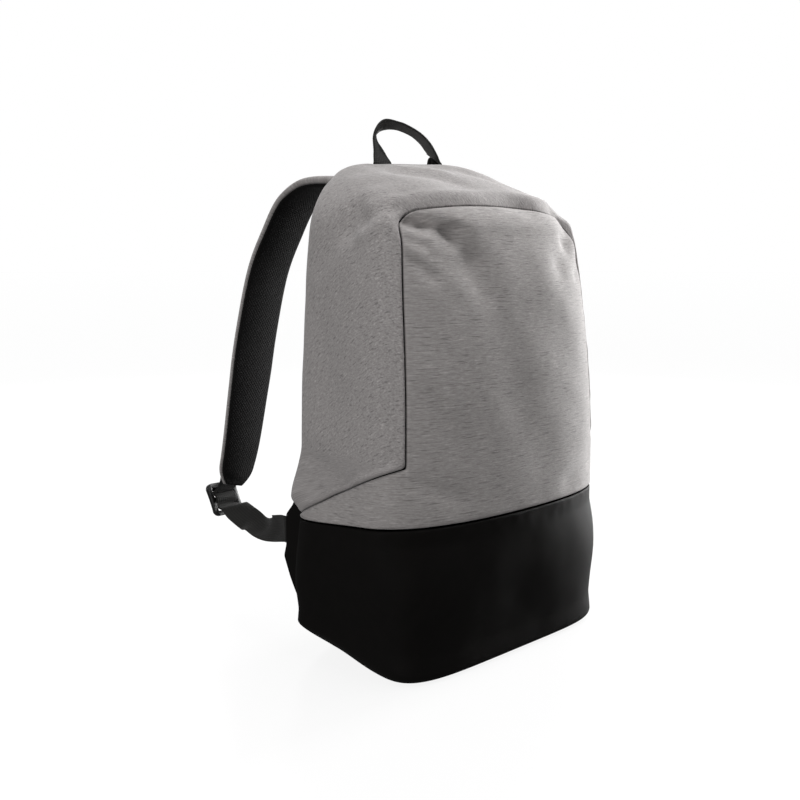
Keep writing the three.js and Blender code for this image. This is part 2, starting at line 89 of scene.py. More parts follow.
# %% Camera
camera_place = Vector((-0.80746, -0.68318, 0.36444))
camera_target = Vector((-0.0392, 0.0416, 0.2324))
camera_data = bpy.data.cameras.new("camera")
camera_data.sensor_width = 36
camera_data.lens = 49.5
camera = bpy.data.objects.new("camera", camera_data)
camera.location = camera_place
camera.rotation_euler = (camera_target - camera_place).to_track_quat("-Z", "Y").to_euler()
bpy.context.scene.collection.objects.link(camera)
bpy.context.scene.camera = camera
print("camera distance", round((camera_target - camera_place).length, 3))

# %% [markdown]
# ## Body form
# The filled bag is one smooth form. Its plan is a rounded rectangle that changes with height, the
# front rolls back over the top, and the lower rim rises round a flat foot. These are the same
# sizes and section shares as in the model, so that the cloth lies where the model's walls are.

# %% Sizes of the body
BAG_HEIGHT = 460
BAG_WIDTH = 314
BAG_DEPTH = 160
BACK_Y = 75
SHOULDER_RADIUS = 69
FRONT_CORNER = 60
RIDGE_DEPTH = 12
FRONT_ROLL = 66
FOOT_INSET = 9
FOOT_RISE = 7
HEEL_INSET = 13
HEEL_LIFT = 30
HEEL_FADE = 60
SEAT_BULGE = 9
SEAT_BULGE_HEIGHT = 210
BASE_SEAM = 136

# shares of the height, the half width and the depth
SECTIONS = [
    (0.055, 0.938, 0.952),
    (0.217, 1.000, 1.000),
    (0.543, 0.982, 0.988),
    (0.870, 0.894, 0.893),
    (1.000, 0.758, 0.860),
]
CORNER_FOOT, CORNER_UPPER, CORNER_BACK, CORNER_SETTLE = 5, 2.4, 8, 120
ROLL_POWER = 0.85
SHOULDER_START = BAG_HEIGHT - SHOULDER_RADIUS


# %% Section shares at any height
def along(column, share):
    """A smooth value of one column of the sections."""
    last = len(SECTIONS) - 1
    i = 0
    while i < last - 1 and share > SECTIONS[i + 1][0]:
        i += 1

    def slope(j):
        a, b = SECTIONS[max(0, j - 1)], SECTIONS[min(last, j + 1)]
        return (b[column] - a[column]) / (b[0] - a[0])

    width = SECTIONS[i + 1][0] - SECTIONS[i][0]
    t = clamp01((share - SECTIONS[i][0]) / width)
    m0, m1 = slope(i) * width, slope(i + 1) * width
    p0 = SECTIONS[i][column]
    rise = SECTIONS[i + 1][column] - p0
    return p0 + m0 * t + (3 * rise - 2 * m0 - m1) * t**2 + (m0 + m1 - 2 * rise) * t**3


def plain_half(z):
    return along(1, z / BAG_HEIGHT) * BAG_WIDTH / 2


def half_width(z):
    t = clamp01((z - SHOULDER_START) / SHOULDER_RADIUS)
    return plain_half(z) - SHOULDER_RADIUS * (1 - math.sqrt(1 - t * t))


def front_y(z):
    start = BAG_HEIGHT - FRONT_ROLL
    flat = BACK_Y - along(2, min(z, start) / BAG_HEIGHT) * BAG_DEPTH
    t = clamp01((z - start) / FRONT_ROLL)
    return mix(flat, BACK_Y - RIDGE_DEPTH, 1 - (1 - t * t) ** ROLL_POWER)


def back_edge(z):
    return BACK_Y + SEAT_BULGE * (1 - float(ease(z / SEAT_BULGE_HEIGHT)))


# %% [markdown]
# A ring is the plan of the body at one height. Its points are spaced evenly along its length, a
# quarter at a time, so that grid lines run straight up the bag.

# %% Rings
QUARTER = 90
QUARTER_TURNS = [(1.0, 1.5), (1.5, 2.0), (0.0, 0.5), (0.5, 1.0)]


def ring(z, quarter=QUARTER):
    half, front, back = half_width(z), front_y(z), back_edge(z)
    middle = min(front + FRONT_CORNER, back - RIDGE_DEPTH / 2)
    front_power = 2 / mix(CORNER_FOOT, CORNER_UPPER, clamp01(z / CORNER_SETTLE))
    pieces = []
    for low, high in QUARTER_TURNS:
        angle = np.linspace(low * math.pi, high * math.pi, 240)
        power = front_power if low >= 1 else 2 / CORNER_BACK
        reach = middle - front if low >= 1 else back - middle
        cos, sin = np.cos(angle), np.sin(angle)
        x = half * np.sign(cos) * np.abs(cos) ** power
        y = middle + reach * np.sign(sin) * np.abs(sin) ** power
        length = np.concatenate([[0], np.cumsum(np.hypot(np.diff(x), np.diff(y)))])
        even = np.linspace(0, length[-1], quarter + 1)[:-1]
        pieces.append(np.stack([np.interp(even, length, x), np.interp(even, length, y)], -1))
    plan = np.concatenate(pieces)
    plan = np.concatenate([plan, plan[:1]])
    return np.column_stack([plan, np.full(len(plan), float(z))])


def rim_lift(p):
    front, rear = front_y(FOOT_RISE), back_edge(0)
    back = np.clip((p[..., 1] - front) / (rear - front), 0, 1)
    corner = np.clip(np.abs(p[..., 0]) / half_width(FOOT_RISE), 0, 1)
    return back * (0.2 + 0.8 * corner**3)


def side_ring(z, quarter=QUARTER):
    """The body at a height, with its lower rim lifted toward the back corners."""
    p = ring(z, quarter)
    p[:, 2] += HEEL_LIFT * rim_lift(p) * clamp01(1 - (z - FOOT_RISE) / HEEL_FADE)
    return p


def foot_ring(turn, quarter=QUARTER):
    """The rolled edge of the foot, from flat on the ground at 0 to upright at a quarter turn."""
    p = ring(FOOT_RISE, quarter)
    lift = rim_lift(p)
    drawn = FOOT_INSET + HEEL_INSET * lift
    spread = math.sin(turn)
    flat = p.copy()
    flat[:, 0] *= 1 - drawn / (BAG_WIDTH / 2)
    flat[:, 1] *= 1 - 2 * drawn / BAG_DEPTH
    out = mix(flat, p, spread)
    out[:, 2] = (FOOT_RISE + HEEL_LIFT * lift) * (1 - math.cos(turn))
    return out


# %% [markdown]
# The large dents and folds of the soft walls come from the model too. Each is a line along which
# the wall is drawn inwards, with a soft slope to both sides.

# %% Folds of the body
BODY_FOLDS = [
    ((-0.74, -0.29, 0.872), (-0.40, -0.44, 0.765), 5.0, 15),
    ((0.70, -0.31, 0.868), (0.46, -0.43, 0.790), 3.0, 14),
    ((-0.90, 0.05, 0.858), (-0.70, -0.14, 0.922), 4.0, 14),
    ((-0.93, 0.26, 0.790), (-0.88, 0.03, 0.885), 3.0, 13),
    ((0.90, 0.08, 0.850), (0.72, -0.13, 0.918), 3.5, 14),
    ((-0.22, -0.12, 0.948), (0.24, -0.28, 0.918), 2.5, 18),
    ((-0.99, 0.30, 0.420), (-1.00, 0.00, 0.385), 3.5, 12),
    ((-0.98, 0.35, 0.378), (-1.00, 0.10, 0.340), 2.5, 11),
    ((1.00, 0.28, 0.410), (1.00, 0.02, 0.380), 3.0, 12),
    ((0.20, -0.49, 0.045), (-0.05, -0.51, 0.120), 1.0, 14),
]
BODY_SIZE = np.array([BAG_WIDTH / 2, BAG_DEPTH, BAG_HEIGHT])


def fold_depth(p, start, end, deep, broad):
    """How far a fold draws in each of the points p."""
    start, end = np.array(start, float), np.array(end, float)
    line = end - start
    share = np.clip(((p - start) @ line) / (line @ line), 0, 1)
    away = np.linalg.norm(p - (start + share[..., None] * line), axis=-1)
    return deep * bell(away, broad)


def fold_depths(p, folds):
    return sum(fold_depth(p, start, end, deep, broad) for start, end, deep, broad in folds)


def folded(p):
    core = np.zeros_like(p)
    core[..., 2] = np.minimum(p[..., 2], BAG_HEIGHT * 0.7)
    inwards = unit(core - p)
    folds = [(np.array(a) * BODY_SIZE, np.array(b) * BODY_SIZE, *rest) for a, b, *rest in BODY_FOLDS]
    depth = fold_depths(p, folds)
    return p + inwards * np.where(p[..., 2] > FOOT_RISE, depth, 0)[..., None]


# %% [markdown]
# A sheet starts as a flat grid. Each of its vertices then moves to its place on the bag, and keeps a
# UV in real millimetres, so that the weave follows the cloth. A grid whose ends meet is welded.

# %% Grids laid on a form
def laid_grid(place, uv=None, seam=None, weld=0.02):
    rows, columns = place.shape[0] - 1, place.shape[1] - 1
    bm = bmesh.new()
    cloth_uv = bm.loops.layers.uv.new("cloth")
    # the seam attribute carries the painted shade along the seams to the material
    seam_layer = bm.verts.layers.float.new("seam")
    bmesh.ops.create_grid(bm, x_segments=columns, y_segments=rows, size=0.5)
    cell = {v: (round((v.co.y + 0.5) * rows), round((v.co.x + 0.5) * columns)) for v in bm.verts}
    if uv is not None:
        for face in bm.faces:
            for loop in face.loops:
                loop[cloth_uv].uv = uv[cell[loop.vert]] * MM
    for vert, at in cell.items():
        vert.co = Vector(place[at])
        if seam is not None:
            vert[seam_layer] = seam[at]
    bmesh.ops.remove_doubles(bm, verts=bm.verts, dist=weld)
    return bm


def face_out(bm, core):
    """Turns an open sheet so that its faces look away from the core."""
    bm.normal_update()
    facing = sum(f.normal.dot(f.calc_center_median() - core) * f.calc_area() for f in bm.faces)
    if facing < 0:
        bmesh.ops.reverse_faces(bm, faces=bm.faces)


# %% [markdown]
# A helper body, never shown, is the form that the sheets are laid on. Sharp edges of the ridge are
# rubbed soft. A ray from inside the bag then finds the cloth's place in any direction.

# %% Helper body
CORE = Vector((0, 10, 230))


def helper_rows():
    low = [foot_ring(t) for t in quarter_turns(12)[:-1]]
    sides = [side_ring(z) for z in np.linspace(FOOT_RISE, SHOULDER_START, 150)]
    top = [ring(SHOULDER_START + SHOULDER_RADIUS * math.sin(t)) for t in quarter_turns(60)[1:]]
    rows = np.array([folded(p) for p in low + sides + top])
    middle_low = np.repeat(rows[:1].mean(1, keepdims=True), rows.shape[1], 1)
    middle_top = np.repeat(rows[-1:].mean(1, keepdims=True), rows.shape[1], 1)
    inner_top = mix(rows[-1:], middle_top, 0.5)
    return np.concatenate([middle_low, rows, inner_top, middle_top])


helper = laid_grid(helper_rows())
RIDGE_BAND, RIDGE_RUBS = 26, 14
ridge_verts = [v for v in helper.verts if v.co.z > BAG_HEIGHT - RIDGE_BAND]
every_axis = {"use_axis_x": True, "use_axis_y": True, "use_axis_z": True}
for _ in range(RIDGE_RUBS):
    bmesh.ops.smooth_vert(helper, verts=ridge_verts, factor=0.5, **every_axis)
face_out(helper, CORE)
body_form = BVHTree.FromBMesh(helper)
print("helper faces", len(helper.faces))


def cast(origin, direction):
    """Where a ray meets the body form, and which way the form faces there."""
    hit, normal, _, _ = body_form.ray_cast(Vector(origin), Vector(direction).normalized())
    return np.array(hit), np.array(normal)


FAR = 400


def on_front(x, z):
    return cast((x, -FAR, z), (0, 1, 0))[0]


def on_back(x, z):
    return cast((x, FAR, z), (0, -1, 0))[0]


def on_side(y, z, side):
    return cast((side * FAR, y, z), (-side, 0, 0))[0]


# %% [markdown]
# ## Seams
# The front panel's seam runs up the left edge, round a small corner, over the top and down again.
# Below it a diagonal seam runs along each side to the back. The other two seams are the straight
# one over the base and the zip's line on the back. Each panel stops short of a seam's middle.

# %% Seam sizes
PANEL_TOP = BAG_HEIGHT - 43
PANEL_CROWN = 5.5
PANEL_CORNER = 32
PANEL_SIDE_RISE = 55
PANEL_EDGE_SHARE = 0.884
ZIP_INSET = 16
ZIP_TOP = BAG_HEIGHT - 20
ZIP_CORNER = 60
ZIP_WIDTH = 11
SEAM_HALF = 0.45

side_seam_top = BASE_SEAM + PANEL_SIDE_RISE
RIGHT_DRAW = 4


def panel_edge(z):
    return plain_half(z) * PANEL_EDGE_SHARE


def drawn_right(x):
    """The right seam lies a little further in, where the filled front pulls it round."""
    return x - RIGHT_DRAW * clamp01(x / 130) ** 4


corner_y = float(on_front(-panel_edge(side_seam_top), side_seam_top)[1])
diagonal_slope = PANEL_SIDE_RISE / (BACK_Y - corner_y)
side_back_y = BACK_Y - 3
print("diagonal seam starts at y", round(corner_y, 1))

# %% Paths of the seams
STEPS = {"diagonal": 30, "side": 48, "corner": 12, "top": 50}


def gusset_front(grow):
    """The gusset's front edge, from the left back corner over the top to the right one."""
    left = []
    for i in range(STEPS["diagonal"]):
        y = mix(side_back_y, corner_y, i / STEPS["diagonal"])
        left.append(on_side(y, BASE_SEAM + diagonal_slope * (BACK_Y - y) + grow, -1))
    corner_z = PANEL_TOP - PANEL_CORNER
    for i in range(STEPS["side"]):
        z = mix(side_seam_top + grow, corner_z, i / STEPS["side"])
        left.append(on_front(-panel_edge(z) - grow, z))
    centre = panel_edge(corner_z) - PANEL_CORNER
    radius = PANEL_CORNER + grow
    for turn in quarter_turns(STEPS["corner"])[:-1]:
        left.append(on_front(-centre - radius * math.cos(turn), corner_z + radius * math.sin(turn)))
    top = []
    for i in range(STEPS["top"] + 1):
        x = mix(-centre, centre, i / STEPS["top"])
        top.append(on_front(x, PANEL_TOP + grow + PANEL_CROWN * (1 - (x / centre) ** 2)))
    right = []
    for p in reversed(left):
        upper = p[2] > side_seam_top + grow - 0.01
        right.append(on_front(drawn_right(-p[0]), p[2]) if upper else on_side(p[1], p[2], 1))
    return np.array(left + top + right)


def gusset_back():
    """The gusset's back edge, on the line of the zip, with the same count of points."""
    corner_z = ZIP_TOP - ZIP_CORNER
    low_end = BASE_SEAM + 64
    left = []
    for low, high, count in ((BASE_SEAM, low_end, STEPS["diagonal"]), (low_end, corner_z, STEPS["side"])):
        for i in range(count):
            z = mix(low, high, i / count)
            left.append((-(plain_half(z) - ZIP_INSET), z))
    centre = plain_half(corner_z) - ZIP_INSET - ZIP_CORNER
    for turn in quarter_turns(STEPS["corner"])[:-1]:
        left.append((-centre - ZIP_CORNER * math.cos(turn), corner_z + ZIP_CORNER * math.sin(turn)))
    top = [(mix(-centre, centre, i / STEPS["top"]), ZIP_TOP) for i in range(STEPS["top"] + 1)]
    right = [(-x, z) for x, z in reversed(left)]
    return np.array([on_back(x, z) for x, z in left + top + right])


front_seam = gusset_front(0.0)
zip_line = gusset_back()
base_seam = folded(side_ring(BASE_SEAM))
print("front seam", round(float(np.linalg.norm(np.diff(front_seam, axis=0), axis=1).sum())), "mm long")


# %% [markdown]
# How far a point is from a seam decides how much the cloth rolls in and puckers there, and how much painted
# shade darkens its colour there. The seams are kept as closely spaced points in a tree that answers that
# quickly.

# %% Distance to a seam
def seam_tree(path, spacing=0.5):
    length = np.concatenate([[0], np.cumsum(np.linalg.norm(np.diff(path, axis=0), axis=1))])
    even = np.arange(0, length[-1], spacing)
    points = np.stack([np.interp(even, length, path[:, k]) for k in range(3)], -1)
    tree = kdtree.KDTree(len(points))
    for i, p in enumerate(points):
        tree.insert(Vector(p), i)
    tree.balance()
    return tree


front_tree, base_tree, zip_tree = (seam_tree(path) for path in (front_seam, base_seam, zip_line))


def distance(tree, points):
    flat = points.reshape(-1, 3)
    return np.array([tree.find(Vector(p))[2] for p in flat]).reshape(points.shape[:-1])


# %% [markdown]
# Cloth is never quite flat. A slow noise gives the wall its soft unevenness, and a quicker one next
# to a seam gives the small puckers that sewing leaves.

# %% Uneven cloth
def ripple(points, wave, seed):
    flat, shift = points.reshape(-1, 3) / wave, Vector((seed, 0, 0))
    return np.array([noise.noise(Vector(p) + shift) for p in flat]).reshape(points.shape[:-1])


def graded(count, fine=0.9):
    """Shares from 0 to 1 that lie closer together at both ends."""
    t = np.linspace(0, 1, count + 1)
    return t - fine * np.sin(2 * math.pi * t) / (2 * math.pi)


def swung(place):
    """The base seam hangs a little lower behind than in front."""
    swing = mix(2.6, -4.2, ease((place[..., 1] + 60) / 130))
    out = place.copy()
    out[..., 2] += swing * bell(place[..., 2] - BASE_SEAM, 34)
    return out


def painted_seam_shade(away):
    """1 on a seam, 0 a little beside it: the material darkens the cloth's colour by it, as painted shade
    along the seam.
    """
    return bell(away, 0.8)


# %% [markdown]
# ## Colours and materials
# Colours are written as a picture editor shows them and turned to linear light by one function.
# One helper adds a node with its settings and links.

# %% Colour and node helpers
def linear(code):
    parts = [int(code[i:i + 2], 16) / 255 for i in (1, 3, 5)]
    return tuple(c / 12.92 if c <= 0.04045 else ((c + 0.055) / 1.055) ** 2.4 for c in parts) + (1.0,)


def add(tree, kind, inputs=None, **settings):
    node = tree.nodes.new(kind)
    for name, value in settings.items():
        setattr(node, name, value)
    for name, value in (inputs or {}).items():
        if isinstance(value, bpy.types.NodeSocket):
            tree.links.new(value, node.inputs[name])
        else:
            node.inputs[name].default_value = value
    return node


def new_material(name):
    material = bpy.data.materials.new(name)
    material.use_nodes = True
    material.node_tree.nodes.clear()
    return material, material.node_tree


# %% [markdown]
# ### Heather polyester
# Melange cloth is woven from threads spun of dark and light fibres, so it is never one grey. Each
# thread changes along its length, which shows as short streaks that run with the thread. The real
# thread is about 0.3 mm, too fine for the picture, so the streaks are drawn about 1 mm wide. The
# gusset is cut on another grain and shows short slanting specks. Here and there a thicker thread, a
# slub, shows as a longer dark or pale dash.

# %% Heather material
STREAK_WIDTH = 1.0
FLECK_WIDTH = 1.2
SLUB_WIDTH = 1.3
SLUB_STRETCH = 2.6
# the share of its colour that the cloth keeps right on a seam, as painted shade
SEAM_PAINTED_SHADE = 0.30


def heather_material(name, dark, mid, light, fleck_mix, streak_length, fleck_length, lean):
    material, tree = new_material(name)
    uv = add(tree, "ShaderNodeUVMap", uv_map="cloth").outputs["UV"]
    grain = {"Vector": uv, "Rotation": (0, 0, math.radians(lean))}
    cloth = add(tree, "ShaderNodeMapping", grain).outputs[0]
    patterns = []
    for length, width, shift, detail, rough in (
        (streak_length, STREAK_WIDTH, (0.0, 0.0, 0.0), 2.0, 0.6),
        (fleck_length, FLECK_WIDTH, (31.0, 7.0, 0.0), 3.0, 0.7),
        (SLUB_STRETCH * streak_length, SLUB_WIDTH, (5.0, 19.0, 0.0), 1.0, 0.5),
    ):
        scale = (1 / (length * MM), 1 / (width * MM), 1.0)
        place = add(tree, "ShaderNodeMapping", {"Vector": cloth, "Scale": scale, "Location": shift})
        spun = {"Vector": place.outputs[0], "Scale": 1.0, "Detail": detail, "Roughness": rough}
        patterns.append(add(tree, "ShaderNodeTexNoise", spun).outputs[0])
    streak, fleck, slub = patterns
    broad_place = add(tree, "ShaderNodeMapping", {"Vector": uv, "Scale": (25.0, 40.0, 1.0)})
    wide = {"Vector": broad_place.outputs[0], "Scale": 1.0, "Detail": 2.0}
    broad = add(tree, "ShaderNodeTexNoise", wide).outputs[0]

    ranges = []
    for value, low, high, bottom, top in (
        (streak, 0.30, 0.70, 0.0, 1.0),
        (fleck, 0.52, 0.74, 0.0, fleck_mix),
        (slub, 0.60, 0.70, 1.0, 0.66),
        (slub, 0.30, 0.40, 1.24, 1.0),
        (broad, 0.0, 1.0, 0.95, 1.05),
    ):
        bounds = {"From Min": low, "From Max": high, "To Min": bottom, "To Max": top}
        ranges.append(add(tree, "ShaderNodeMapRange", {"Value": value, **bounds}).outputs[0])
    shade, bright, dark_slub, pale_slub, drift = ranges
    base = add(tree, "ShaderNodeMix", {"Factor": shade, "A": dark, "B": mid}, data_type="RGBA")
    fibres = {"Factor": bright, "A": base.outputs["Result"], "B": light}
    flecked = add(tree, "ShaderNodeMix", fibres, data_type="RGBA")
    slubs = add(tree, "ShaderNodeMath", {0: dark_slub, 1: pale_slub}, operation="MULTIPLY")
    uneven = add(tree, "ShaderNodeMath", {0: slubs.outputs[0], 1: drift}, operation="MULTIPLY")
    # painted shade: the colour is darkened along the seams by the seam attribute
    seam = add(tree, "ShaderNodeAttribute", attribute_name="seam")
    fade = {"Value": seam.outputs["Fac"], "To Min": 1.0, "To Max": SEAM_PAINTED_SHADE}
    seam_painted_shade = add(tree, "ShaderNodeMapRange", fade)
    worn = flecked.outputs["Result"]
    for factor in (uneven, seam_painted_shade):
        scaled = {"Vector": worn, "Scale": factor.outputs[0]}
        worn = add(tree, "ShaderNodeVectorMath", scaled, operation="SCALE").outputs[0]

    bump = add(tree, "ShaderNodeBump", {"Height": streak, "Strength": 0.22, "Distance": 0.0006})
    fine = {"Height": fleck, "Strength": 0.25, "Distance": 0.0005, "Normal": bump.outputs[0]}
    bump_fine = add(tree, "ShaderNodeBump", fine)
    shader = add(tree, "ShaderNodeBsdfPrincipled", {
        "Base Color": worn,
        "Roughness": 0.95,
        "IOR": 1.46,
        "Sheen Weight": 0.25,
        "Sheen Roughness": 0.5,
        "Specular IOR Level": 0.25,
        "Normal": bump_fine.outputs[0],
    })
    add(tree, "ShaderNodeOutputMaterial", {"Surface": shader.outputs[0]})
    return material


heather = heather_material(
    "heather_polyester", linear("#96918f"), linear("#aeaaa9"), linear("#d6d3d2"), 0.36, 7.0, 3.5, 0)
heather_gusset = heather_material(
    "heather_polyester_cross", linear("#928d8c"), linear("#b0acab"), linear("#d8d5d4"), 0.5, 2.8, 1.9, 48)

# %% [markdown]
# ### Black base cloth
# The base is a tight plain weave of black polyester with a coated back. It is smooth, nearly
# black, and shows only a soft sheen where it turns away.

# %% Base cloth material
WEAVE = 0.9


def base_cloth_material():
    material, tree = new_material("black_polyester")
    uv = add(tree, "ShaderNodeUVMap", uv_map="cloth")
    turns = 2 * math.pi / (WEAVE * MM) / 20
    place = add(tree, "ShaderNodeMapping", {"Vector": uv.outputs["UV"], "Scale": (turns, turns, 1.0)})
    warp, weft = (
        add(tree, "ShaderNodeTexWave", {"Vector": place.outputs[0], "Scale": 1.0}, bands_direction=way)
        for way in ("X", "Y")
    )
    threads = {0: warp.outputs["Fac"], 1: weft.outputs["Fac"]}
    woven = add(tree, "ShaderNodeMath", threads, operation="MULTIPLY")
    soft_place = add(tree, "ShaderNodeMapping", {"Vector": uv.outputs["UV"], "Scale": (60.0, 60.0, 1.0)})
    soft = add(tree, "ShaderNodeTexNoise", {"Vector": soft_place.outputs[0], "Scale": 1.0, "Detail": 3.0})
    tones = {"Factor": soft.outputs[0], "A": linear("#0b0a09"), "B": linear("#12100f")}
    colour = add(tree, "ShaderNodeMix", tones, data_type="RGBA")
    bump = add(tree, "ShaderNodeBump", {"Height": woven.outputs[0], "Strength": 0.25, "Distance": 0.0003})
    shader = add(tree, "ShaderNodeBsdfPrincipled", {
        "Base Color": colour.outputs["Result"],
        "Roughness": 0.72,
        "Specular IOR Level": 0.09,
        "Normal": bump.outputs[0],
    })
    add(tree, "ShaderNodeOutputMaterial", {"Surface": shader.outputs[0]})
    return material


base_cloth = base_cloth_material()

# %% [markdown]
# ### Air mesh
# The padding against the body is covered with spacer mesh: a knitted black net with a staggered
# field of small holes, each about 2.5 mm from the next. The holes are painted darker, as painted shade.

# %% Air mesh material
HOLE_PITCH = 2.6


def air_mesh_material():
    material, tree = new_material("spacer_mesh")
    uv = add(tree, "ShaderNodeUVMap", uv_map="cloth")
    scale = 1 / (HOLE_PITCH * MM)
    staggered = {"Vector": uv.outputs["UV"], "Rotation": (0, 0, math.pi / 4), "Scale": (scale, scale, 1.0)}
    place = add(tree, "ShaderNodeMapping", staggered)
    even = {"Vector": place.outputs[0], "Scale": 1.0, "Randomness": 0.0}
    cells = add(tree, "ShaderNodeTexVoronoi", even, voronoi_dimensions="2D")
    edge = {"Value": cells.outputs["Distance"], "From Min": 0.18, "From Max": 0.42}
    hole = add(tree, "ShaderNodeMapRange", edge)
    # the holes are painted darker, as painted shade inside them; the same mask drives the bump
    tones = {"Factor": hole.outputs[0], "A": linear("#080707"), "B": linear("#121111")}
    colour = add(tree, "ShaderNodeMix", tones, data_type="RGBA")
    bump = add(tree, "ShaderNodeBump", {"Height": hole.outputs[0], "Strength": 0.4, "Distance": 0.0007})
    shader = add(tree, "ShaderNodeBsdfPrincipled", {
        "Base Color": colour.outputs["Result"],
        "Roughness": 0.85,
        "Sheen Weight": 0.03,
        "Specular IOR Level": 0.15,
        "Normal": bump.outputs[0],
    })
    add(tree, "ShaderNodeOutputMaterial", {"Surface": shader.outputs[0]})
    return material


air_mesh = air_mesh_material()

# %% [markdown]
# ### Webbing
# Handle and strap ends are woven polypropylene tape. Its thick threads cross the tape as fine ribs, whose
# crests are painted lighter as a painted highlight.

# %% Webbing material
RIB_PITCH = 1.5


def webbing_material():
    material, tree = new_material("polypropylene_webbing")
    uv = add(tree, "ShaderNodeUVMap", uv_map="cloth")
    turns = 2 * math.pi / (RIB_PITCH * MM) / 20
    place = add(tree, "ShaderNodeMapping", {"Vector": uv.outputs["UV"], "Scale": (turns * 0.6, turns, 1.0)})
    wave = {"Vector": place.outputs[0], "Scale": 1.0}
    ribs = add(tree, "ShaderNodeTexWave", {**wave, "Distortion": 0.6}, bands_direction="Y")
    rows = add(tree, "ShaderNodeTexWave", wave, bands_direction="X")
    woven = add(tree, "ShaderNodeMath", {0: ribs.outputs["Fac"], 1: rows.outputs["Fac"]}, operation="ADD")
    # the rib crests are painted lighter, a painted highlight; the same rib height drives the bump
    rib_height_and_painted_highlight = add(tree, "ShaderNodeMapRange", {"Value": woven.outputs[0], "From Max": 2.0})
    tones = {"Factor": rib_height_and_painted_highlight.outputs[0], "A": linear("#141413"), "B": linear("#2a2927")}
    colour = add(tree, "ShaderNodeMix", tones, data_type="RGBA")
    bump = add(tree, "ShaderNodeBump", {"Height": rib_height_and_painted_highlight.outputs[0], "Strength": 0.6, "Distance": 0.0005})
    shader = add(tree, "ShaderNodeBsdfPrincipled", {
        "Base Color": colour.outputs["Result"],
        "Roughness": 0.7,
        "Sheen Weight": 0.08,
        "Specular IOR Level": 0.35,
        "Normal": bump.outputs[0],
    })
    add(tree, "ShaderNodeOutputMaterial", {"Surface": shader.outputs[0]})
    return material


webbing = webbing_material()

# %% [markdown]
# ### Moulded plastic
# The ladder locks are injection moulded acetal with a fine spark texture, so they shine softly.

# %% Plastic material
GRAIN = 0.35


def plastic_material():
    material, tree = new_material("moulded_acetal")
    where = add(tree, "ShaderNodeTexCoord")
    spark = {"Vector": where.outputs["Object"], "Scale": 1 / (GRAIN * MM), "Detail": 2.0}
    grain = add(tree, "ShaderNodeTexNoise", spark)
    rough = add(tree, "ShaderNodeMapRange", {"Value": grain.outputs[0], "To Min": 0.36, "To Max": 0.5})
    bump = add(tree, "ShaderNodeBump", {"Height": grain.outputs[0], "Strength": 0.1, "Distance": 0.0001})
    shader = add(tree, "ShaderNodeBsdfPrincipled", {
        "Base Color": linear("#0d0d0d"),
        "Roughness": rough.outputs[0],
        "IOR": 1.48,
        "Normal": bump.outputs[0],
    })
    add(tree, "ShaderNodeOutputMaterial", {"Surface": shader.outputs[0]})
    return material


plastic = plastic_material()


# %% [markdown]
# A finished mesh becomes an object at the origin, in metres, with smooth faces. It stands for its
# node of the model and rides on the only body, the root.

# %% From mesh to piece
def make_piece(bm, name, material, node, subdivide=0, thickness=0.0):
    bmesh.ops.scale(bm, vec=(MM, MM, MM), verts=bm.verts)
    mesh = bpy.data.meshes.new(name)
    bm.to_mesh(mesh)
    bm.free()
    for face in mesh.polygons:
        face.use_smooth = True
    mesh.materials.append(material)
    piece = bpy.data.objects.new(name, mesh)
    bpy.context.scene.collection.objects.link(piece)
    if subdivide:
        smooth = piece.modifiers.new("smooth", "SUBSURF")
        smooth.levels = smooth.render_levels = subdivide
    if thickness:
        wall = piece.modifiers.new("wall", "SOLIDIFY")
        wall.thickness = thickness * MM
        wall.offset = -1
    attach(piece, "root")
    if node:
        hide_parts(node)
    print(name, "faces", len(mesh.polygons))
    return piece


# %% [markdown]
# ## Gusset
# One long strip of cloth makes both sides and the top. Its front edge follows the front seam and
# its back edge the zip. Here the strip is a grid: columns run along the seam, and rows go over from
# the seam to the zip along the body form.

# %% Laying rows between two edges
# the rays start on a line inside the bag, between these heights
CORE_LOW, CORE_TOP = 120, 330


def between(a, b, share):
    """The direction at a share of the turn from a to b."""
    turn = a.angle(b)
    return a.normalized() * math.sin((1 - share) * turn) + b.normalized() * math.sin(share * turn)


def laid_between(front_edge, back_edge_points, shares):
    """Points on the body form between two edges, with the way out of the form at each."""
    place, out = [], []
    for p, q in zip(front_edge, back_edge_points):
        middle = Vector((0, 10, min(CORE_TOP, max(CORE_LOW, (p[2] + q[2]) / 2))))
        hits = [cast(middle, between(Vector(p) - middle, Vector(q) - middle, s)) for s in shares]
        place.append([hit for hit, _ in hits])
        out.append([normal for _, normal in hits])
    return np.array(place).swapaxes(0, 1), np.array(out).swapaxes(0, 1)


def running_length(place, axis):
    """Length along the rows or columns of a laid grid, for its UV."""
    step = np.linalg.norm(np.diff(place, axis=axis), axis=-1)
    start = np.zeros_like(np.take(step, [0], axis=axis))
    return np.concatenate([start, np.cumsum(step, axis=axis)], axis=axis)


# %% Folds of the gusset
# A plus draws the wall in, a minus lets it stand out. Places are on the body, in millimetres
SHOULDER_FOLDS = [
    ((-118, -34, 411), (-137, -8, 401), 5.0, 7),
    ((-110, -27, 421), (-132, -8, 413), -3.2, 6),
    ((-134, 4, 420), (-142, 10, 394), 4.6, 8),
    ((-131, 4, 427), (-112, -16, 429), -3.2, 7),
    ((-126, 14, 434), (-96, -2, 440), 2.2, 9),
    ((-122, -38, 398), (-136, -22, 382), 2.8, 6),
    ((-128, -30, 392), (-140, -8, 386), -2.0, 6),
    ((118, -30, 410), (136, -6, 400), 3.2, 8),
    ((134, 8, 416), (141, 14, 396), 2.8, 8),
    ((-64, 24, 446), (-20, -6, 440), 2.4, 12),
    ((-36, 34, 454), (-8, 16, 450), -2.4, 11),
    ((24, 40, 456), (64, 22, 452), -2.6, 14),
    ((30, 18, 448), (70, -8, 436), 2.4, 12),
    ((-90, 40, 446), (-60, 54, 456), 2.0, 10),
]
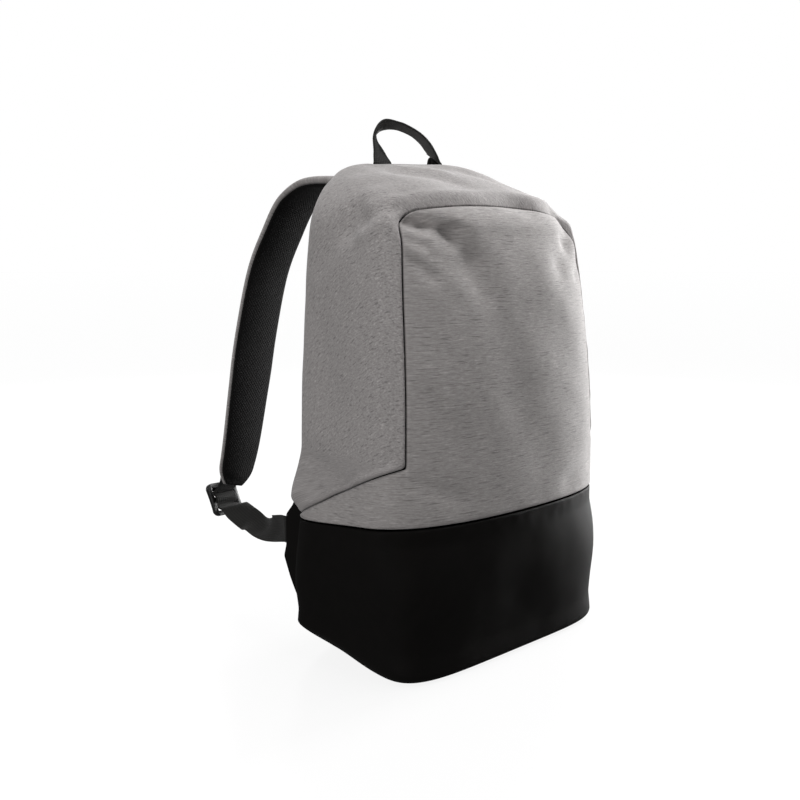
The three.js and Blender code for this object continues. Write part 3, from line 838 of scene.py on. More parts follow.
SIDE_FOLDS = [
    ((-156, 52, 189), (-157, 16, 184), 3.0, 5),
    ((-156, 46, 178), (-157, -2, 175), 3.2, 6),
    ((-156, 58, 182), (-157, 30, 180), -2.0, 4),
    ((-157, 40, 166), (-157, 12, 160), 2.4, 6),
    ((-157, 62, 200), (-157, 44, 172), -1.8, 6),
    ((156, 48, 188), (157, 14, 183), 2.6, 6),
    ((156, 40, 172), (157, 4, 170), 2.2, 7),
    ((-152, 46, 330), (-156, 14, 240), 2.4, 16),
    ((-150, -6, 350), (-156, 0, 270), -1.8, 14),
    ((152, 36, 330), (156, 6, 240), 2.0, 18),
]


def with_folds(place, out, folds):
    depth = fold_depths(place, folds) * ease((distance(front_tree, place) - 1) / 9)
    return place - out * depth[..., None]


# %% Gusset
TOP_DRAW = 6
CORNER_BULGE = 9
CLOTH_THICK = 1.6
gusset_shares = graded(44, 0.88)
gusset_place, gusset_out = laid_between(gusset_front(SEAM_HALF), zip_line, gusset_shares)
along_seam = running_length(gusset_place, 1)
middle = along_seam.shape[1] // 2
from_middle = along_seam - along_seam[:, middle:middle + 1]
gusset_uv = np.stack([from_middle, running_length(gusset_place, 0)], -1)


def corner_bulge(place):
    """The filled side stands out at its lower back corners, just above the base."""
    x, y, z = np.abs(place[..., 0]), place[..., 1], place[..., 2]
    low = ease((z - BASE_SEAM) / 13) * ease((BASE_SEAM + 66 - z) / 48)
    return CORNER_BULGE * low * ease((y - 26) / 44) * ease((x - 118) / 26)


def gusset_relief(place, out):
    """Rolls the edge into the seam, broadly over the top, and puckers the cloth beside it; also gives the
    painted shade along the seams.
    """
    x, y, z = place[..., 0], place[..., 1], place[..., 2]
    to_front, to_base, to_zip = (distance(tree, place) for tree in (front_tree, base_tree, zip_tree))
    over_top = ease((z - 384) / 22) * ease((60 - y) / 30)
    roll = mix(3.4, 14.0, over_top)
    drop = mix(2.4, TOP_DRAW + 2.5, over_top)
    rolled = drop * (1 - np.sin(np.clip(to_front / roll, 0, 1) * math.pi / 2)) ** 1.2
    rim = mix(1.0, 1.4, over_top) * bell(to_front - mix(3.4, 13, over_top), mix(2.6, 6, over_top))
    rim -= 0.5 * (1 - over_top) * bell(to_front - 9.5, 3)
    rim += ease((z - 436) / 16) * (2.2 * bell(x - 42, 26) - 2.2 * bell(x + 50, 24))
    height = corner_bulge(place) * ease((to_front - 1) / 12)
    sewn = 2.2 * bell(to_base, 2.0) + 2.0 * bell(to_zip, 2.0)
    pucker = ripple(place, 9, 3) * 0.9 * np.exp(-to_front / 9)
    pucker += ripple(place, 11, 5) * 0.8 * np.exp(-to_base / 10)
    slow = ripple(place, 70, 8) * 0.9 + ripple(place, 26, 12) * 0.5
    inside = np.minimum(to_front, to_base)
    height = height + rim - rolled - sewn + (pucker + slow) * ease(inside / 4)
    return swung(place + out * height[..., None]), painted_seam_shade(np.minimum(inside, to_zip))


gusset_place = with_folds(gusset_place, gusset_out, SHOULDER_FOLDS + SIDE_FOLDS)
gusset_place, gusset_painted_shade = gusset_relief(gusset_place, gusset_out)


ALL_SIDES = {"low": (0, 0), "high": (0, -1), "first": (1, 0), "last": (1, -1)}


def tucked(place, out, uv, seam, sides=ALL_SIDES, depth=4.0):
    """Adds a row along the named sides that turns the cloth's edge into the bag."""
    grids = [place, out, uv, seam]
    for axis, end in (ALL_SIDES[side] for side in sides):
        edge = [np.take(grid, [end], axis=axis) for grid in grids]
        edge[0] = edge[0] - edge[1] * depth
        pairs = zip(edge, grids) if end == 0 else zip(grids, edge)
        grids = [np.concatenate(pair, axis) for pair in pairs]
    return grids


place, _, uv, seam = tucked(gusset_place, gusset_out, gusset_uv, gusset_painted_shade)
gusset_mesh = laid_grid(place, uv, seam)
face_out(gusset_mesh, CORE)
make_piece(gusset_mesh, "gusset_cloth", heather_gusset, "side_top_gusset", 1, CLOTH_THICK)

# %% [markdown]
# ## Front panel
# The front is one cloth whose lower part wraps round both sides under the gusset. The middle is a
# grid with rounded top corners, and each wing is a grid that narrows to a point at the back. They
# share their edge points, so welding makes them one sheet.

# %% Places of the front panel
FRONT_COLUMNS = 76
LOW_ROWS = 16
HIGH_ROWS = 52
CORNER_ROWS = 12
WING_COLUMNS = 36


def front_rows():
    """Height and half width of each row of the middle part."""
    grow = -SEAM_HALF
    rows = []
    low = BASE_SEAM + SEAM_HALF
    seam_side = side_seam_top + grow
    for i in range(LOW_ROWS):
        rows.append((mix(low, seam_side, graded(LOW_ROWS, 0.7)[i]), None))
    corner_z = PANEL_TOP - PANEL_CORNER
    for i in range(HIGH_ROWS):
        rows.append((mix(seam_side, corner_z, i / HIGH_ROWS), None))
    centre, radius = panel_edge(corner_z) - PANEL_CORNER, PANEL_CORNER + grow
    for turn in quarter_turns(CORNER_ROWS):
        rows.append((corner_z + radius * math.sin(turn), centre + radius * math.cos(turn)))
    return [(z, panel_edge(z) + grow if half is None else half) for z, half in rows]


def crown_at(z, share):
    risen = clamp01((z - (PANEL_TOP - PANEL_CORNER)) / PANEL_CORNER)
    return PANEL_CROWN * risen**2 * (1 - share * share)


across = 2 * graded(FRONT_COLUMNS, 0.85) - 1
front_place, front_out = [], []
for z, half in front_rows():
    hits = [cast((drawn_right(s * half), -FAR, z + crown_at(z, s)), (0, 1, 0)) for s in across]
    front_place.append([h[0] for h in hits])
    front_out.append([h[1] for h in hits])
front_place, front_out = np.array(front_place), np.array(front_out)
front_uv = front_place[..., [0, 2]].copy()
print("front panel grid", front_place.shape)


# %% Places of a wing
def wing_grid(side):
    """The strip that wraps round one side, from the front panel's edge to the back corner."""
    column = 0 if side < 0 else -1
    start = front_place[: LOW_ROWS + 1, column]
    place, out = [], []
    for j, first in enumerate(start):
        share = (first[2] - start[0][2]) / (start[-1][2] - start[0][2])
        row, normals = [], []
        middle = Vector((0, 10, first[2]))
        a = Vector(first) - middle
        b = Vector(on_side(side_back_y, first[2], side)) - middle
        for i in range(WING_COLUMNS + 1):
            way = between(a, b, i / WING_COLUMNS)
            guess, _ = cast(middle, way)
            top = BASE_SEAM + diagonal_slope * (BACK_Y - guess[1]) - SEAM_HALF
            height = mix(start[0][2], min(max(top, start[0][2]), start[-1][2]), share)
            hit, normal = cast((0, 10, height), (way.x, way.y, 0))
            row.append(first if i == 0 else hit)
            normals.append(front_out[j, column] if i == 0 else normal)
        place.append(row)
        out.append(normals)
    place, out = np.array(place), np.array(out)
    run = running_length(place, 1)
    uv = np.stack([place[:, :1, 0] + side * run, place[..., 2]], -1)
    if side < 0:
        place, out, uv = place[:, ::-1], out[:, ::-1], uv[:, ::-1]
    return place, out, uv


# %% [markdown]
# The panel's own folds fan out from its upper left corner: a deep scoop, the ridge below it that
# catches the light, and two short creases. They are placed on the front by width and height.

# %% Folds of the front panel
PANEL_FOLDS = [
    ((-121, 405), (-101, 400), 7.0, 8),
    ((-101, 400), (-76, 389), 8.5, 11),
    ((-76, 389), (-58, 366), 6.4, 12),
    ((-58, 366), (-46, 338), 3.2, 14),
    ((-120, 391), (-101, 385), -1.8, 6),
    ((-101, 385), (-78, 374), -2.2, 9),
    ((-126, 386), (-106, 380), 2.0, 4),
    ((-126, 377), (-110, 371), -1.2, 5),
    ((-126, 368), (-103, 352), 1.8, 5.5),
    ((-103, 352), (-84, 330), 1.0, 9),
    ((-30, 400), (110, 402), 1.4, 17),
    ((-44, 330), (-20, 250), 1.6, 22),
    ((-10, 240), (20, 180), 1.2, 24),
    ((40, 350), (90, 300), -1.4, 22),
    ((124, 398), (96, 384), 2.4, 8),
    ((128, 372), (108, 352), 1.6, 8),
    ((-128, 176), (-90, 158), 1.6, 9),
    ((118, 172), (70, 154), 1.6, 12),
    ((-118, 250), (-96, 214), 1.2, 12),
]


def front_relief(place, out):
    y, z = place[..., 1], place[..., 2]
    depth = fold_depths(place[..., [0, 2]], PANEL_FOLDS) * ease((40 - y) / 30)
    to_front, to_base = distance(front_tree, place), distance(base_tree, place)
    over_top = ease((z - 384) / 22)
    rolled = mix(2.0, 2.6, over_top) * bell(to_front, mix(1.5, 2.4, over_top)) + bell(to_base, 1.6)
    pucker = ripple(place, 8, 21) * 0.7 * np.exp(-to_front / 8)
    pucker += ripple(place, 10, 25) * 0.8 * np.exp(-to_base / 9)
    slow = ripple(place, 80, 31) * 0.9 + ripple(place, 24, 35) * 0.35
    inside = np.minimum(to_front, to_base)
    held = ease(inside / 5)
    drawn = TOP_DRAW * ease((z - 335) / 75) * (1 - (1 - over_top) * bell(to_front, 16))
    height = -rolled - drawn - depth * (0.35 + 0.65 * held) + (pucker + slow) * held
    return swung(place + out * height[..., None]), painted_seam_shade(inside)


# %% Front panel
def front_sheet(place, out, uv, sides):
    place, seam = front_relief(place, out)
    place, out, uv, seam = tucked(place, out, uv, seam, sides)
    return laid_grid(place, uv, seam)


def joined(meshes, weld=0.05):
    whole = bmesh.new()
    for bm in meshes:
        part = bpy.data.meshes.new("part")
        bm.to_mesh(part)
        bm.free()
        whole.from_mesh(part)
        bpy.data.meshes.remove(part)
    bmesh.ops.remove_doubles(whole, verts=whole.verts, dist=weld)
    return whole


front_grids = (front_place, front_out, front_uv)
low_grids = [
    np.concatenate([left[:, :-1], front[: LOW_ROWS + 1], right[:, 1:]], 1)
    for left, front, right in zip(wing_grid(-1), front_grids, wing_grid(1))
]
lower_sheet = front_sheet(*low_grids, ["low"])
upper_sheet = front_sheet(*(grid[LOW_ROWS:] for grid in front_grids), ["high", "first", "last"])
front_mesh = joined([lower_sheet, upper_sheet])
face_out(front_mesh, CORE)
make_piece(front_mesh, "front_cloth", heather, "front_panel", 1, CLOTH_THICK)

# %% [markdown]
# ## Base
# The base is a cup of black cloth: a wall up to the seam, a rolled rim and a flat foot. Behind, its
# wall is pressed in where the padded back lies against it.

# %% Outline of the padded back
BACK_INSET = ZIP_INSET + ZIP_WIDTH
BACK_BOTTOM = 26
BACK_BOTTOM_RADIUS = 22
BACK_TOP = ZIP_TOP - ZIP_WIDTH
BACK_TOP_RADIUS = ZIP_CORNER - ZIP_WIDTH


def inside_back(x, z):
    """How far a point of the back lies inside the padded back's outline, below zero outside it."""
    half = plain_half(min(max(z, 0), BAG_HEIGHT)) - BACK_INSET
    upper = z > (BACK_TOP + BACK_BOTTOM) / 2
    radius = BACK_TOP_RADIUS if upper else BACK_BOTTOM_RADIUS
    edge = BACK_TOP - z if upper else z - BACK_BOTTOM
    side = half - abs(x)
    if side < radius and edge < radius:
        return radius - math.hypot(radius - side, radius - edge)
    return min(side, edge)


# %% Lower corners of the base
HEEL_FLARE = 20
HEEL_FLARE_HEIGHT = 150
HEEL_CUT = 44


def flared(p):
    """The filled base stands out at its lower back corners."""
    back = np.clip((p[:, 1] + BAG_DEPTH / 2) / BAG_DEPTH, 0, 1) ** 5
    corner = np.clip(np.abs(p[:, 0]) / (BAG_WIDTH / 2), 0, 1) ** 4
    low = ease(1 - p[:, 2] / HEEL_FLARE_HEIGHT)
    out = p.copy()
    out[:, 0] += np.sign(p[:, 0]) * HEEL_FLARE * back * corner * low
    return out


def rim_ring(turn, quarter):
    """A ring of the foot's rolled edge. Toward the back corners the foot rises in a straight slope."""
    p = foot_ring(turn, quarter)
    outer = ring(FOOT_RISE, quarter)
    lift = rim_lift(outer)
    share = math.sin(turn)
    sloped = outer.copy()
    sloped[:, :2] *= (1 - HEEL_CUT / (BAG_WIDTH / 2) * lift * (1 - share))[:, None]
    rise = share**0.9 - 0.10 * math.cos(turn) * share
    sloped[:, 2] = HEEL_LIFT * lift * rise + FOOT_RISE * (1 - math.cos(turn))
    return mix(p, sloped, ease(lift / 0.7)[:, None])


# %% Base
BASE_QUARTER = 62
BACK_PRESS = 7.5
base_heights = BASE_SEAM - SEAM_HALF - (BASE_SEAM - SEAM_HALF - FOOT_RISE) * graded(40, 0.8)
rim_turns = [math.pi / 2 * (1 - i / 8) for i in range(1, 9)]
base_rings = [folded(side_ring(z, BASE_QUARTER)) for z in base_heights]
base_rings += [rim_ring(turn, BASE_QUARTER) for turn in rim_turns]
base_rings = [flared(p) for p in base_rings]
foot_middle = np.array([0, 8, 0])
base_rings += [mix(base_rings[-1], foot_middle, s) for s in (0.04, 0.12, 0.25, 0.4, 0.55, 0.7, 0.85, 1.0)]
base_place = np.array(base_rings)[::-1]
base_out = unit(base_place - np.array([0, 20, 90]))
base_out[base_place[..., 2] < 0.5] = (0, 0, -1)
base_uv = np.stack([
    np.broadcast_to(running_length(base_place, 1)[-1], base_place.shape[:2]),
    running_length(base_place, 0),
], -1)


def base_relief(place, out):
    to_seam = distance(base_tree, place)
    wall = ease((place[..., 2] - 6) / 20)
    rolled = 1.4 * bell(to_seam, 1.5)
    pucker = ripple(place, 10, 41) * 0.8 * np.exp(-to_seam / 9)
    slow = (ripple(place, 75, 44) * 1.0 + ripple(place, 30, 47) * 0.5) * wall
    height = -rolled + (pucker + slow) * ease(to_seam / 4)
    moved = place + out * height[..., None]
    inside = np.array([[inside_back(x, z) for x, _, z in row] for row in place])
    moved[..., 1] -= np.where(place[..., 1] > 60, BACK_PRESS * ease(inside / 5 + 0.3), 0.0)
    moved[..., 2] = np.maximum(moved[..., 2], 0.0)
    return swung(moved), painted_seam_shade(to_seam)


base_place, base_painted_shade = base_relief(base_place, base_out)
place, _, uv, seam = tucked(base_place, base_out, base_uv, base_painted_shade, ["high"])
base_mesh = laid_grid(place, uv, seam)
face_out(base_mesh, Vector((0, 20, 70)))
make_piece(base_mesh, "base_cloth", base_cloth, "base_panel", 1, CLOTH_THICK)

# %% [markdown]
# ## Bands
# Straps, webbing and the handle are flat bands that bend and turn along their way. Each is a grid
# wrapped round a flat section and carried along a smooth curve through a few stations. A station is
# a place and the way the band's width points there, as in the model.

# %% Curve through stations
def spline(points, t):
    """Centripetal curve through the points, at a share of its spans."""
    spans = len(points) - 1
    i = min(int(t * spans), spans - 1)
    w = t * spans - i
    p1, p2 = points[i], points[i + 1]
    p0 = points[i - 1] if i else 2 * p1 - p2
    p3 = points[i + 2] if i + 2 <= spans else 2 * p2 - p1
    d0, d1, d2 = (math.sqrt(np.linalg.norm(b - a)) for a, b in ((p0, p1), (p1, p2), (p2, p3)))
    d1 = d1 if d1 > 1e-4 else 1.0
    d0, d2 = (d if d > 1e-4 else d1 for d in (d0, d2))
    m1 = ((p1 - p0) / d0 - (p2 - p0) / (d0 + d1) + (p2 - p1) / d1) * d1
    m2 = ((p2 - p1) / d1 - (p3 - p1) / (d1 + d2) + (p3 - p2) / d2) * d1
    rise = p2 - p1
    return p1 + m1 * w + (3 * rise - 2 * m1 - m2) * w**2 + (m1 + m2 - 2 * rise) * w**3


# %% Sections and sweep
def tape_section(width, thickness, crown=0.0, sag=0.0, shift=0.0, bend=0.0, faces=10, edges=4):
    """Outline of a band: flat or crowned faces and round edges, as (across, normal) pairs."""
    w, h = width / 2, thickness / 2
    across = [mix(w - h, -(w - h), i / faces) for i in range(faces + 1)]
    swell = [1 - (a / w) ** 2 for a in across]
    over = [(a, h + crown * s) for a, s in zip(across, swell)]
    under = [(-a, -h - sag * s) for a, s in zip(across, swell)]
    turn = [math.pi / 2 + math.pi * i / edges for i in range(1, edges)]
    left = [(-(w - h) + h * math.cos(t), h * math.sin(t)) for t in turn]
    right = [((w - h) - h * math.cos(t), -h * math.sin(t)) for t in turn]
    return [(a, b + shift + bend * (1 - (a / w) ** 2)) for a, b in over + left + under + right]


def sweep(stations, steps, section):
    """Carries a section along the stations. The ends are pressed flat and welded shut."""
    places = [np.array(s[0], float) for s in stations]
    widths = [np.array(s[1], float) for s in stations]
    rows, lengths, run = [], [], 0.0
    for i in range(steps + 1):
        t = i / steps
        here = spline(places, t)
        tangent = unit(spline(places, min(1, t + 0.002)) - spline(places, max(0, t - 0.002)))
        across = spline(widths, t)
        across = unit(across - tangent * (across @ tangent))
        normal = np.cross(tangent, across)
        outline = section(t)
        outline = outline + outline[:1]
        rows.append(np.array([here + across * a + normal * b for a, b in outline]))
        middle = sum(b for _, b in outline[:-1]) / (len(outline) - 1)
        if i in (0, steps):
            flat = np.array([here + across * a + normal * middle for a, b in outline])
            rows.insert(len(rows) - (1 if i == 0 else 0), flat)
            lengths.append(run)
        if i:
            run += float(np.linalg.norm(here - before))
        lengths.append(run)
        before = here
    place = np.array(rows)
    spread = (running_length(place[1:2], 1)[0], np.array(lengths)[:, None])
    uv = np.stack([np.broadcast_to(values, place.shape[:2]) for values in spread], -1)
    return laid_grid(place, uv, weld=0.01)


def closed_out(bm):
    if bm.calc_volume(signed=True) < 0:
        bmesh.ops.reverse_faces(bm, faces=bm.faces)
    return bm


def both_sides(make, name, material, subdivide=1, padded=None):
    """Makes the left piece, and the right one as its mirror image."""
    ending = "cloth" if padded else "piece"
    for side in ("left", "right"):
        bm = closed_out(make())
        if side == "right":
            bmesh.ops.scale(bm, vec=(-1, 1, 1), verts=bm.verts)
            bmesh.ops.reverse_faces(bm, faces=bm.faces)
        node = f"{side}_{name}"
        piece = make_piece(bm, f"{node}_{ending}", material, node, subdivide)


# %% [markdown]
# ## Handle
# A loop of webbing is sewn into the top ridge. Its legs turn, so that at the top the width points
# back and down.

# %% Handle
HANDLE_SPAN, HANDLE_RISE, HANDLE_LEAN = 78, 40, 15
HANDLE_WIDTH, HANDLE_THICK = 25, 2.4
HANDLE_FOOT_INSET, HANDLE_SUNK = 9, 3
# shares of the half span, the lean and the rise, and the turn of the width in degrees
HANDLE_ARCH = [
    (-0.97, 0.00, 0.00, 0),
    (-0.97, 0.00, 0.07, 3),
    (-0.97, 0.21, 0.24, 16),
    (-1.00, 0.48, 0.53, 34),
    (-0.95, 0.67, 0.73, 54),
    (-0.74, 0.59, 0.90, 52),
    (-0.39, 0.15, 0.90, 31),
    (0.15, -0.14, 0.75, 36),
    (0.57, -0.13, 0.54, 43),
    (0.90, -0.05, 0.27, 43),
    (1.00, 0.04, 0.20, 29),
    (0.97, 0.00, 0.10, 5),
    (0.97, 0.00, 0.00, 0),
]
lean_length = math.hypot(HANDLE_LEAN, HANDLE_RISE)
handle_stations = []
for out_share, lean, rise, turned in HANDLE_ARCH:
    angle = math.radians(turned)
    y = BACK_Y - HANDLE_FOOT_INSET + lean * HANDLE_LEAN
    z = BAG_HEIGHT - HANDLE_SUNK + rise * (HANDLE_RISE + HANDLE_SUNK)
    sideways = math.sin(angle) / lean_length
    handle_stations.append((
        (out_share * HANDLE_SPAN / 2, y, z),
        (math.cos(angle), sideways * HANDLE_RISE, -sideways * HANDLE_LEAN),
    ))
handle_mesh = closed_out(sweep(handle_stations, 90, lambda t: tape_section(HANDLE_WIDTH, HANDLE_THICK)))
make_piece(handle_mesh, "handle_webbing", webbing, "top_handle", 1)

# %% [markdown]
# ## Shoulder straps
# Each strap is two layers over its whole length: a pad of foam under air mesh on the side of the
# wearer, and a heather cover on the outside. The pad swells between its sewn edges.

# %% Strap route
STRAP_REACH, STRAP_TOP_OFFSET, STRAP_SPREAD = 129, 38, 80
STRAP_WIDTH, STRAP_END_WIDTH = 51, 40
PAD_THICK, COVER_THICK, LAYER_GAP, SEAT_GAP = 4.2, 2.6, 0.5, 0.3
# shares of the sideways spread, the reach behind the back and the bag's height
STRAP_ROUTE = [
    (0.00, 0.000, 0.890),
    (0.00, 0.000, 0.912),
    (0.00, 0.008, 0.934),
    (0.01, 0.090, 0.962),
    (0.05, 0.330, 0.974),
    (0.11, 0.580, 0.967),
    (0.17, 0.775, 0.930),
    (0.27, 0.905, 0.852),
    (0.38, 0.975, 0.776),
    (0.55, 1.000, 0.642),
    (0.72, 0.985, 0.510),
    (0.90, 0.965, 0.378),
    (1.00, 0.990, 0.300),
]
strap_seat = COVER_THICK + LAYER_GAP / 2 + SEAT_GAP
strap_places = [
    np.array((-STRAP_TOP_OFFSET - o * STRAP_SPREAD, BACK_Y + mix(strap_seat, STRAP_REACH, r), u * BAG_HEIGHT))
    for o, r, u in STRAP_ROUTE
]
strap_stations = [(p, (1, 0, 0)) for p in strap_places]


def strap_width(t):
    body = mix(STRAP_WIDTH, STRAP_END_WIDTH, clamp01((t - 0.8) / 0.2))
    tip = clamp01((t - 0.955) / 0.045)
    return body * (1 - 0.45 * tip * tip)


# %% Straps
# over the shoulder the foam is thicker, and the strap sinks a little
ROLL_THICK = 4.5
SETTLE = 3.0


def grown(t):
    return float(ease((t - 0.12) / 0.1) * (1 - ease((t - 0.3) / 0.5)))


def pad_section(t):
    swell = ease(t / 0.05) * ease((1 - t) / 0.03)
    middle = (PAD_THICK + LAYER_GAP) / 2 - 0.8 + (ROLL_THICK + SETTLE) * grown(t)
    return tape_section(strap_width(t) - 1.5, PAD_THICK - 1.6, crown=1.9 * swell, shift=middle)


def cover_section(t):
    swell = float(ease((t - 0.12) / 0.1))
    thick = COVER_THICK + ROLL_THICK * grown(t)
    middle = -(COVER_THICK + LAYER_GAP) / 2 + (ROLL_THICK / 2 + SETTLE) * grown(t)
    return tape_section(strap_width(t) + 1.2, thick, sag=1.2 * swell, shift=middle)


STRAP_STEPS = 130
both_sides(
    lambda: sweep(strap_stations, STRAP_STEPS, pad_section), "strap_pad", air_mesh, padded=0.7)
both_sides(lambda: sweep(strap_stations, STRAP_STEPS, cover_section), "strap_cover", heather)

# %% [markdown]
# ## Ladder locks and webbing
# A ladder lock is a moulded frame with two slots. A short tab holds it on the strap, and the
# webbing from the bag is threaded through it. The frame starts as a flat grid: two of its cells
# become the slots, and the rest is given its thickness and rounded edges.

# %% Ladder lock
LOCK_WIDTH, LOCK_LENGTH, LOCK_THICK = 35, 34, 5
LOCK_BAR, LOCK_RAIL = 4.5, 4.6
LOCK_STANDOFF, LOCK_DROP, LOCK_TURN = 15, 16, math.radians(28)
strap_end = strap_places[-1]
lock_centre = strap_end + np.array((0, LOCK_STANDOFF, -LOCK_DROP))
lock_down = np.array((0, -math.sin(LOCK_TURN), -math.cos(LOCK_TURN)))
lock_forward = np.array((0, -math.cos(LOCK_TURN), math.sin(LOCK_TURN)))


def lock_mesh():
    w, l = LOCK_WIDTH / 2, LOCK_LENGTH / 2
    columns = [-w, -w + LOCK_RAIL, w - LOCK_RAIL, w]
    rows = [-l, -l + LOCK_BAR, -LOCK_BAR / 2, LOCK_BAR / 2, l - LOCK_BAR, l]
    bm = bmesh.new()
    bmesh.ops.create_grid(bm, x_segments=3, y_segments=5, size=0.5)
    for v in bm.verts:
        v.co.x, v.co.y = columns[round((v.co.x + 0.5) * 3)], rows[round((v.co.y + 0.5) * 5)]
    slots = []
    for face in bm.faces:
        centre = face.calc_center_median()
        if abs(centre.x) < 1 and LOCK_BAR / 2 < abs(centre.y) < l - LOCK_BAR:
            slots.append(face)
    bmesh.ops.delete(bm, geom=slots, context="FACES_ONLY")
    raised = bmesh.ops.extrude_face_region(bm, geom=list(bm.faces))["geom"]
    raised = [part for part in raised if isinstance(part, bmesh.types.BMVert)]
    bmesh.ops.translate(bm, vec=(0, 0, LOCK_THICK), verts=raised)
    bmesh.ops.translate(bm, vec=(0, 0, -LOCK_THICK / 2), verts=bm.verts)
    bmesh.ops.recalc_face_normals(bm, faces=bm.faces)

    def at_corner(v):
        return abs(abs(v.co.x) - w) < 0.01 and abs(abs(v.co.y) - l) < 0.01

    corners = [e for e in bm.edges if all(at_corner(v) for v in e.verts)]
    bmesh.ops.bevel(bm, geom=corners, offset=5, segments=4, profile=0.5, affect="EDGES", material=-1)
    sharp = [e for e in bm.edges if e.is_manifold and e.calc_face_angle() > 0.6]
    bmesh.ops.bevel(bm, geom=sharp, offset=0.9, segments=2, profile=0.5, affect="EDGES", material=-1)
    turned = Matrix.Rotation(math.pi / 2 - LOCK_TURN, 3, "X")
    bmesh.ops.rotate(bm, cent=(0, 0, 0), matrix=turned, verts=bm.verts)
    bmesh.ops.translate(bm, vec=lock_centre, verts=bm.verts)
    return bm


both_sides(lock_mesh, "ladder_lock", plastic, subdivide=0)

# %% Webbing and tab
WEB_WIDTH, WEB_THICK, WEB_CLEARANCE, WEB_SAG, WEB_CUP = 26, 1.8, 0.5, 9, 5
TAB_LENGTH, TAB_LIFT, TAB_STANDOFF = 20, 2, 0.3
WING_OFFSET, WING_BOTTOM, WING_HEIGHT, WING_REACH, WING_THICK = 143, 52, 128, 19, 2.6
WING_SEAT_OUT, WING_SEAT_UP = 0.8, 0.49
slot_centre = (LOCK_LENGTH - LOCK_BAR) / 4
web_behind = (LOCK_THICK + WEB_THICK) / 2 + WEB_CLEARANCE
wing_foot = BACK_Y + SEAT_GAP
wing_seat = np.array((
    -WING_OFFSET,
    wing_foot + WING_REACH * WING_SEAT_OUT + SEAT_GAP,
    WING_BOTTOM + WING_HEIGHT * WING_SEAT_UP,
))


def lock_point(down, forward):
    return (lock_centre + lock_down * down + lock_forward * forward, (1, 0, 0))


# The webbing is threaded up through the lower slot, over the middle bar and down the upper slot.
# shares of the sideways gap, of the way forward and of the sag, and the turn in degrees
WEB_ROUTE = [
    (0.02, 0.090, 0.08, 8),
    (0.05, 0.170, 0.32, 40),
    (0.14, 0.310, 0.78, 54),
    (0.30, 0.460, 1.00, 22),
    (0.50, 0.600, 0.98, 38),
    (0.76, 0.780, 0.55, 84),
    (1.00, 0.960, 0.00, 90),
    (1.00, 1.000, 0.00, 90),
]
web_start = lock_point(slot_centre, 0)
web_stations = [
    lock_point(-slot_centre * 2.0, -web_behind - 2.4),
    lock_point(-slot_centre * 1.35, -web_behind - 0.4),
    lock_point(-slot_centre * 0.85, 0.6),
    lock_point(0, (LOCK_THICK + WEB_THICK) / 2 + 0.6),
    lock_point(slot_centre * 0.9, 0.4),
]
for o, f, s, turned in WEB_ROUTE:
    a, b = web_start[0], wing_seat
    web_stations.append((
        (mix(a[0], b[0], o), mix(a[1], b[1], f), mix(a[2], b[2], clamp01(f / 0.96)) - s * WEB_SAG),
        (math.cos(math.radians(turned)), 0, math.sin(math.radians(turned))),
    ))


def on_strap(up, stand_off):
    before = strap_places[-2]
    share = (up - before[2]) / (strap_end[2] - before[2])
    face = COVER_THICK + LAYER_GAP / 2 + WEB_THICK / 2 + SEAT_GAP
    return ((strap_end[0], mix(before[1], strap_end[1], share) + face + stand_off, up), (1, 0, 0))


tab_stations = [
    on_strap(strap_end[2] + TAB_LENGTH, TAB_STANDOFF),
    on_strap(strap_end[2] + TAB_LENGTH * 0.5, TAB_STANDOFF),
    on_strap(strap_end[2] + TAB_LENGTH * 0.15, TAB_LIFT),
    lock_point(-slot_centre, 0),
    lock_point(-slot_centre * 1.4, -web_behind),
    lock_point(-slot_centre * 2, -web_behind),
]


def web_section(t):
    """The webbing cups across its width where it turns: one way, then the other."""
    first = float(ease((t - 0.36) / 0.12) * ease((0.62 - t) / 0.12))
    second = float(ease((t - 0.62) / 0.12) * ease((0.97 - t) / 0.12))
    return tape_section(WEB_WIDTH, WEB_THICK, bend=WEB_CUP * (0.7 * first - second))


both_sides(lambda: sweep(web_stations, 120, web_section), "webbing", webbing)
both_sides(
    lambda: sweep(tab_stations, 50, lambda t: tape_section(WEB_WIDTH, WEB_THICK)),
    "lock_tab", webbing)

# %% [markdown]
# ## Wings
# The webbing is sewn to a triangle of base cloth that is caught in the lower back seam. It is a
# closed flat pocket, widest where the webbing leaves it.

# %% Wing
WING_TUCK = 13
# shares of the reach and of the height
WING_SHAPE = np.array([
    (0.00, 0.00), (0.55, 0.14), (1.00, 0.29), (0.82, 0.38), (0.80, 0.61),
    (0.30, 0.69), (0.04, 0.78), (-0.30, 0.92), (-0.50, 1.00),
])


def wing_mesh():
    def section(t):
        reach = WING_REACH * float(np.interp(t, WING_SHAPE[:, 1], WING_SHAPE[:, 0]))
        thick = min(WING_THICK, 1.0 + max(reach, 0) * 0.4)
        return [(a + reach / 2 - WING_TUCK / 2, b) for a, b in tape_section(reach + WING_TUCK, thick)]

    heights = [WING_BOTTOM + WING_HEIGHT * t for t in (0, 0.25, 0.5, 0.75, 1)]
    return sweep([((-WING_OFFSET, wing_foot, z), (0, 1, 0)) for z in heights], 60, section)


both_sides(wing_mesh, "strap_wing", base_cloth)

# %% [markdown]
# ## Padded back
# The back is foam under air mesh. It is quilted: a channel runs up the middle and two stitched
# lines cross it, and the foam swells between them. It lies in the recess between the zip's tapes.

